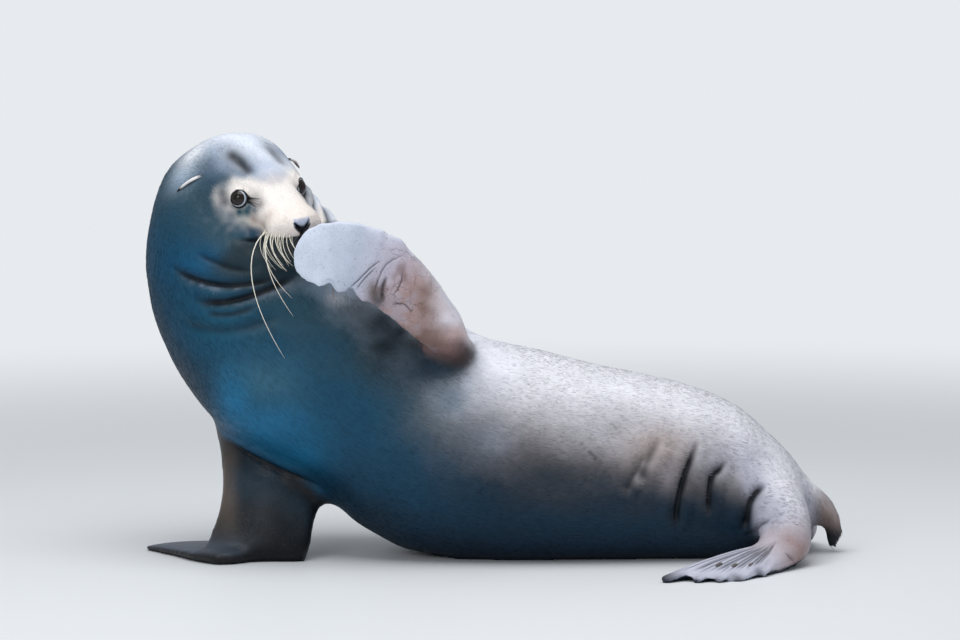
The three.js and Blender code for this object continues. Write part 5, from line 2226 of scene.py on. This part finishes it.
@dataclass
class Coat:
    """Flat, overlapping tufts of short fur over the skin, each a closed sliver lying along the body."""

    survey: Survey
    tufts: int = 96000
    per_piece: int = 24000
    patch: float = 0.003  # a tuft's room in the map
    seed: int = 21
    length: tuple[float, float, float] = (0.0120, 0.0080, 0.0045)  # on the body, the head and the face
    width: tuple[float, float] = (0.00125, 0.0008)  # on the body and the face, like the rest of these
    lift: tuple[float, float] = (0.00030, 0.00015)
    sink: tuple[float, float] = (0.0007, 0.0004)
    thick: tuple[float, float] = (0.00022, 0.00016)
    strays: float = 0.02  # the share of tufts that stand up further
    stray_lift: float = 0.0006
    corners: Array = field(init=False)  # the skin's vertices at the corners of each triangle
    loops: Array = field(init=False)  # the same corners' rows in the map

    def build(self, material: bpy.types.Material) -> list[bpy.types.Object]:
        """Plants the tufts and makes the coat's pieces.

        Args:
            material: the tufts' finish.

        Returns:
            The finished pieces.
        """
        dice = np.random.default_rng(self.seed)
        faces, weights = self._planting(dice)
        roots = self._roots(faces, weights)
        shape = self._shapes(roots, dice)
        pieces = []
        for start in range(0, self.tufts, self.per_piece):
            part = {key: rows[start : start + self.per_piece] for key, rows in shape.items()}
            pieces.append(self._piece(f"coat_{len(pieces) + 1}", part, material))
        return pieces

    def _planting(self, dice: np.random.Generator) -> tuple[Array, Array]:
        """Chooses a face and a place on it for every tuft, more of them where they are short.

        Args:
            dice: the source of the random numbers.

        Returns:
            The number of each tuft's triangle, and the shares of its corners at the root.
        """
        mesh = self.survey.skin.piece.data
        mesh.calc_loop_triangles()
        self.corners = rows_of(mesh.loop_triangles, "vertices", 3, np.int32)
        self.loops = rows_of(mesh.loop_triangles, "loops", 3, np.int32)
        points = places_of(self.survey.skin.piece)
        a, b, c = (points[self.corners[:, i]] for i in range(3))
        area = np.linalg.norm(np.cross(b - a, c - a), axis=1) / 2
        middle = (a + b + c) / 3
        furry = np.clip(1.0 - self.survey.open[self.corners].max(axis=1), 0.0, 1.0)
        local = self.survey.skin.head.local(middle)
        head = smoothstep(0.22, 0.14, np.linalg.norm(local, axis=1))
        face = head * smoothstep(-0.05, 0.03, local[:, 0])
        plenty = 1.0 + 1.2 * head + 3.5 * face
        density = furry * (furry > 0.4) * plenty * smoothstep(0.006, 0.02, middle[:, 2])
        share = area * density
        picked = dice.choice(len(area), self.tufts, p=share / share.sum())
        weights = np.sqrt(dice.random((self.tufts, 1)))
        spread = dice.random((self.tufts, 1))
        return picked, np.hstack([1 - weights, weights * (1 - spread), weights * spread])

    def _roots(self, picked: Array, weights: Array) -> dict[str, Array]:
        """What the skin is like at every tuft's root.

        Args:
            picked: the number of each tuft's triangle.
            weights: the shares of its corners.

        Returns:
            Rows for the tufts, by what they are of.
        """
        piece = self.survey.skin.piece
        corners = self.corners[picked]

        def mean(rows: Array) -> Array:
            """The value at the root of a row stored at each vertex."""
            return (rows[corners] * weights[:, :, None]).sum(1)

        maps = rows_of(piece.data.uv_layers[BAKE_MAP].data, "uv", 2)
        return {
            "point": mean(places_of(piece)),
            "normal": unit(mean(normals_of(piece))),
            "heading": mean(self.survey.spine.heading),
            "lie": mean(self.survey.spine.lie()),
            "colour": mean(self.survey.colour),
            "map": (maps[self.loops[picked]] * weights[:, :, None]).sum(1),
        }

    def _shapes(self, roots: dict[str, Array], dice: np.random.Generator) -> dict[str, Array]:
        """The six corners, colours and place in the map of every tuft.

        Args:
            roots: what the skin is like at the roots.
            dice: the source of the random numbers.

        Returns:
            Rows for the tufts, by what they are of.
        """
        point, normal = roots["point"], roots["normal"]
        count = len(point)
        local = self.survey.skin.head.local(point)
        head = smoothstep(0.22, 0.15, np.linalg.norm(local, axis=1))
        face = head * smoothstep(-0.07, 0.02, local[:, 0])
        sway = cloud_noise(point, 0.07, 8.0)[:, None] * np.array([0.0, 0.22, -0.16])
        heading = roots["heading"] + sway + dice.normal(0.0, 0.07, (count, 3))
        heading = unit(heading - normal * (heading * normal).sum(1)[:, None])
        aside = np.cross(normal, heading)
        furry = blended(self.length[0], self.length[1], head)
        length = blended(furry, self.length[2], face) * dice.uniform(0.7, 1.25, count)
        width = blended(*self.width, face) * dice.uniform(0.75, 1.3, count)
        lift = blended(*self.lift, face) * dice.uniform(0.5, 1.5, count)
        stray = dice.random(count) < self.strays
        lift = lift + stray * self.stray_lift * (1 - face)
        column = (slice(None), None)
        root = point - normal * blended(*self.sink, face)[column]
        middle = point + heading * (0.45 * length)[column] + normal * (0.30 * lift)[column]
        tip = point + heading * length[column] + normal * lift[column]
        side = aside * (width / 2)[column]
        up = normal * (blended(*self.thick, face) / 2)[column]
        corners = np.stack([root, middle + side, middle - side, middle + up, middle - up, tip], 1)
        corners[:, :, 2] = np.maximum(corners[:, :, 2], 0.0005)
        tone = dice.uniform(0.84, 1.16, count)[column] * (1 + 0.03 * dice.normal(0, 1, (count, 3)))
        tilt = aside * dice.normal(0.0, 0.16, (count, 1)) + heading * dice.normal(0.05, 0.08, (count, 1))
        return {
            "points": corners,
            "colours": np.clip(roots["colour"] * tone, 0.0, 1.0),
            "lie": roots["lie"],
            "map": roots["map"],
            "normal": unit(normal + tilt),
        }

    def _piece(self, name: str, part: dict[str, Array], material: bpy.types.Material) -> bpy.types.Object:
        """Makes one piece of the coat.

        Args:
            name: its name.
            part: the rows of its tufts.
            material: the tufts' finish.

        Returns:
            The finished piece.
        """
        count = len(part["points"])
        near_half = ((0, 3, 1), (0, 2, 3), (0, 1, 4), (0, 4, 2))
        far_half = ((5, 1, 3), (5, 3, 2), (5, 4, 1), (5, 2, 4))
        sliver = np.array(near_half + far_half)
        faces = (sliver[None] + 6 * np.arange(count)[:, None, None]).reshape(-1, 3)
        piece = new_piece(name, mesh_from(name, part["points"].reshape(-1, 3), faces))
        write_colours(piece, "surface_colour", np.repeat(part["colours"], 6, axis=0))
        places = np.repeat(part["lie"], 6, axis=0)
        places[:, 0] += np.tile([0.0, 0.006, 0.006, 0.006, 0.006, 0.012], count)
        places[:, 1] += np.tile([0.0, 0.001, -0.001, 0.0, 0.0, 0.0], count)
        write_vectors(piece, "lie", places)
        corner = np.array([[0.0, 0.5], [0.5, 1.0], [0.5, 0.0], [0.5, 0.5], [0.5, 0.5], [1.0, 0.5]]) - 0.5
        spots = np.repeat(part["map"], 6, axis=0) + np.tile(corner * self.patch, (count, 1))
        layer = piece.data.uv_layers.new(name=BAKE_MAP)
        layer.data.foreach_set("uv", spots[faces.ravel()].astype(np.float32).ravel())
        shade_smooth(piece)
        piece.data.normals_split_custom_set_from_vertices(np.repeat(part["normal"], 6, axis=0).tolist())
        piece.data.materials.append(material)
        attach(piece, BODY)
        return piece


# ---------------------------------------------------------------- stage


@dataclass
class Stage:
    """The pale floor, soft light and camera."""

    target: Point = (-0.162, 0.0, 0.4216)
    distance: float = 6.48
    elevation: float = 4.8
    lens: float = 135.0
    floor_size: float = 60.0
    floor_colour: Colour = (0.80, 0.82, 0.84)
    surround: Colour = (0.80, 0.83, 0.86)
    fade_from: float = 1.4
    fade_to: float = 4.5
    world_light: float = 0.5

    def build(self) -> None:
        """Makes the floor, the world, the lamps and the camera."""
        self._floor()
        self._world()
        self._lamps()
        self._camera()

    def _floor(self) -> None:
        """A wide pale floor that fades into the surround, so that no horizon shows."""
        bpy.ops.mesh.primitive_plane_add(size=self.floor_size, location=(0, 0, 0))
        floor = bpy.context.object
        floor.name = "floor"
        kit = NodeKit("pale_floor")
        kit.finish(Base_Color=(*self.floor_colour, 1), Roughness=0.55)
        place = kit.object_place()
        length = kit.node("ShaderNodeVectorMath", {"operation": "LENGTH"}, {0: place})
        away = Wire(kit, length.outputs["Value"])
        seen = Wire(kit, kit.node("ShaderNodeLightPath").outputs["Is Camera Ray"])
        glow = kit.node("ShaderNodeEmission", {}, {"Color": (*self.surround, 1), "Strength": 1.0})
        fade = kit.node("ShaderNodeMixShader", {}, {0: away.step(self.fade_from, self.fade_to) * seen})
        kit.tree.links.new(kit.surface.outputs[0], fade.inputs[1])
        kit.tree.links.new(glow.outputs[0], fade.inputs[2])
        kit.tree.links.new(fade.outputs[0], kit.tree.nodes["Material Output"].inputs["Surface"])
        floor.data.materials.append(kit.material)

    def _world(self) -> None:
        """An even pale surround that lights the object less than the camera sees it."""
        world = bpy.data.worlds.new("surround")
        world.use_nodes = True
        tree = world.node_tree
        light = tree.nodes["Background"]
        light.inputs["Color"].default_value = (0.86, 0.9, 0.95, 1)
        light.inputs["Strength"].default_value = self.world_light
        seen = tree.nodes.new("ShaderNodeBackground")
        seen.inputs["Color"].default_value = (*self.surround, 1)
        path = tree.nodes.new("ShaderNodeLightPath")
        mix = tree.nodes.new("ShaderNodeMixShader")
        tree.links.new(path.outputs["Is Camera Ray"], mix.inputs[0])
        tree.links.new(light.outputs[0], mix.inputs[1])
        tree.links.new(seen.outputs[0], mix.inputs[2])
        tree.links.new(mix.outputs[0], tree.nodes["World Output"].inputs["Surface"])
        bpy.context.scene.world = world

    def _lamps(self) -> None:
        """A broad lamp overhead and a weak one from the front."""
        self._lamp("overhead", (-0.3, -0.8, 3.2), (0, 0, 0.2), 2.6, 70.0)
        self._lamp("front", (-2.2, -4.0, 2.0), (-0.2, 0, 0.3), 2.0, 40.0)

    @staticmethod
    def _lamp(name: str, at: Point, aim: Point, size: float, power: float) -> None:
        """A square soft lamp that looks at a point.

        Args:
            name: its name.
            at: where it hangs.
            aim: the point it looks at.
            size: the length of its side.
            power: its power in watts.
        """
        data = bpy.data.lights.new(name, "AREA")
        data.size = size
        data.energy = power
        lamp = bpy.data.objects.new(name, data)
        lamp.location = at
        direction = Vector(aim) - Vector(at)
        lamp.rotation_euler = direction.to_track_quat("-Z", "Y").to_euler()
        bpy.context.scene.collection.objects.link(lamp)

    def _camera(self) -> None:
        """A long lens at the animal's side, a little above it."""
        data = bpy.data.cameras.new("camera")
        data.lens = self.lens
        data.clip_end = 100.0
        camera = bpy.data.objects.new("camera", data)
        angle = math.radians(self.elevation)
        away = Vector((0, -math.cos(angle), math.sin(angle))) * self.distance
        camera.location = Vector(self.target) + away
        camera.rotation_euler = (math.pi / 2 - angle, 0, 0)
        bpy.context.scene.collection.objects.link(camera)
        bpy.context.scene.camera = camera


def main() -> None:
    """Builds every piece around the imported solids."""
    logging.basicConfig(level=logging.INFO, format="%(message)s")
    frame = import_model()
    bpy.context.scene.view_settings.view_transform = "Standard"
    Stage().build()
    head = Head.from_solids()
    LOG.info("head at %s, eyes %.4f m apart", np.round(head.origin, 3), head.eye_spacing)
    skin = Skin(frame["nodes"], head)
    piece = skin.build()
    survey = Survey(skin)
    survey.take()
    wet_skin = WetSkin().build()
    piece.data.materials.append(wet_skin)
    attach(piece, BODY)
    report(piece)
    eye_finish = EyeFinish().build()
    for side in Side:
        look = Eyeball.look if side is Side.RIGHT else (0.74, -0.58, 0.34)
        report(Eyeball(head, side, look).build(eye_finish))
        report(Ear(head, side).build(wet_skin, survey.markings))
    report(Whiskers().build(skin, WhiskerFinish().build()))
    horn = Horn().build()
    for name, node in frame["nodes"].items():
        if name.startswith("claw"):
            node.data.materials.clear()
            node.data.materials.append(horn)
    for part in Coat(survey).build(WetTufts().build()):
        report(part)


def report(piece: bpy.types.Object) -> None:
    """Logs a piece's name and its number of triangles."""
    LOG.info("%s: %d triangles", piece.name, sum(len(face.vertices) - 2 for face in piece.data.polygons))


if __name__ == "__main__":
    main()
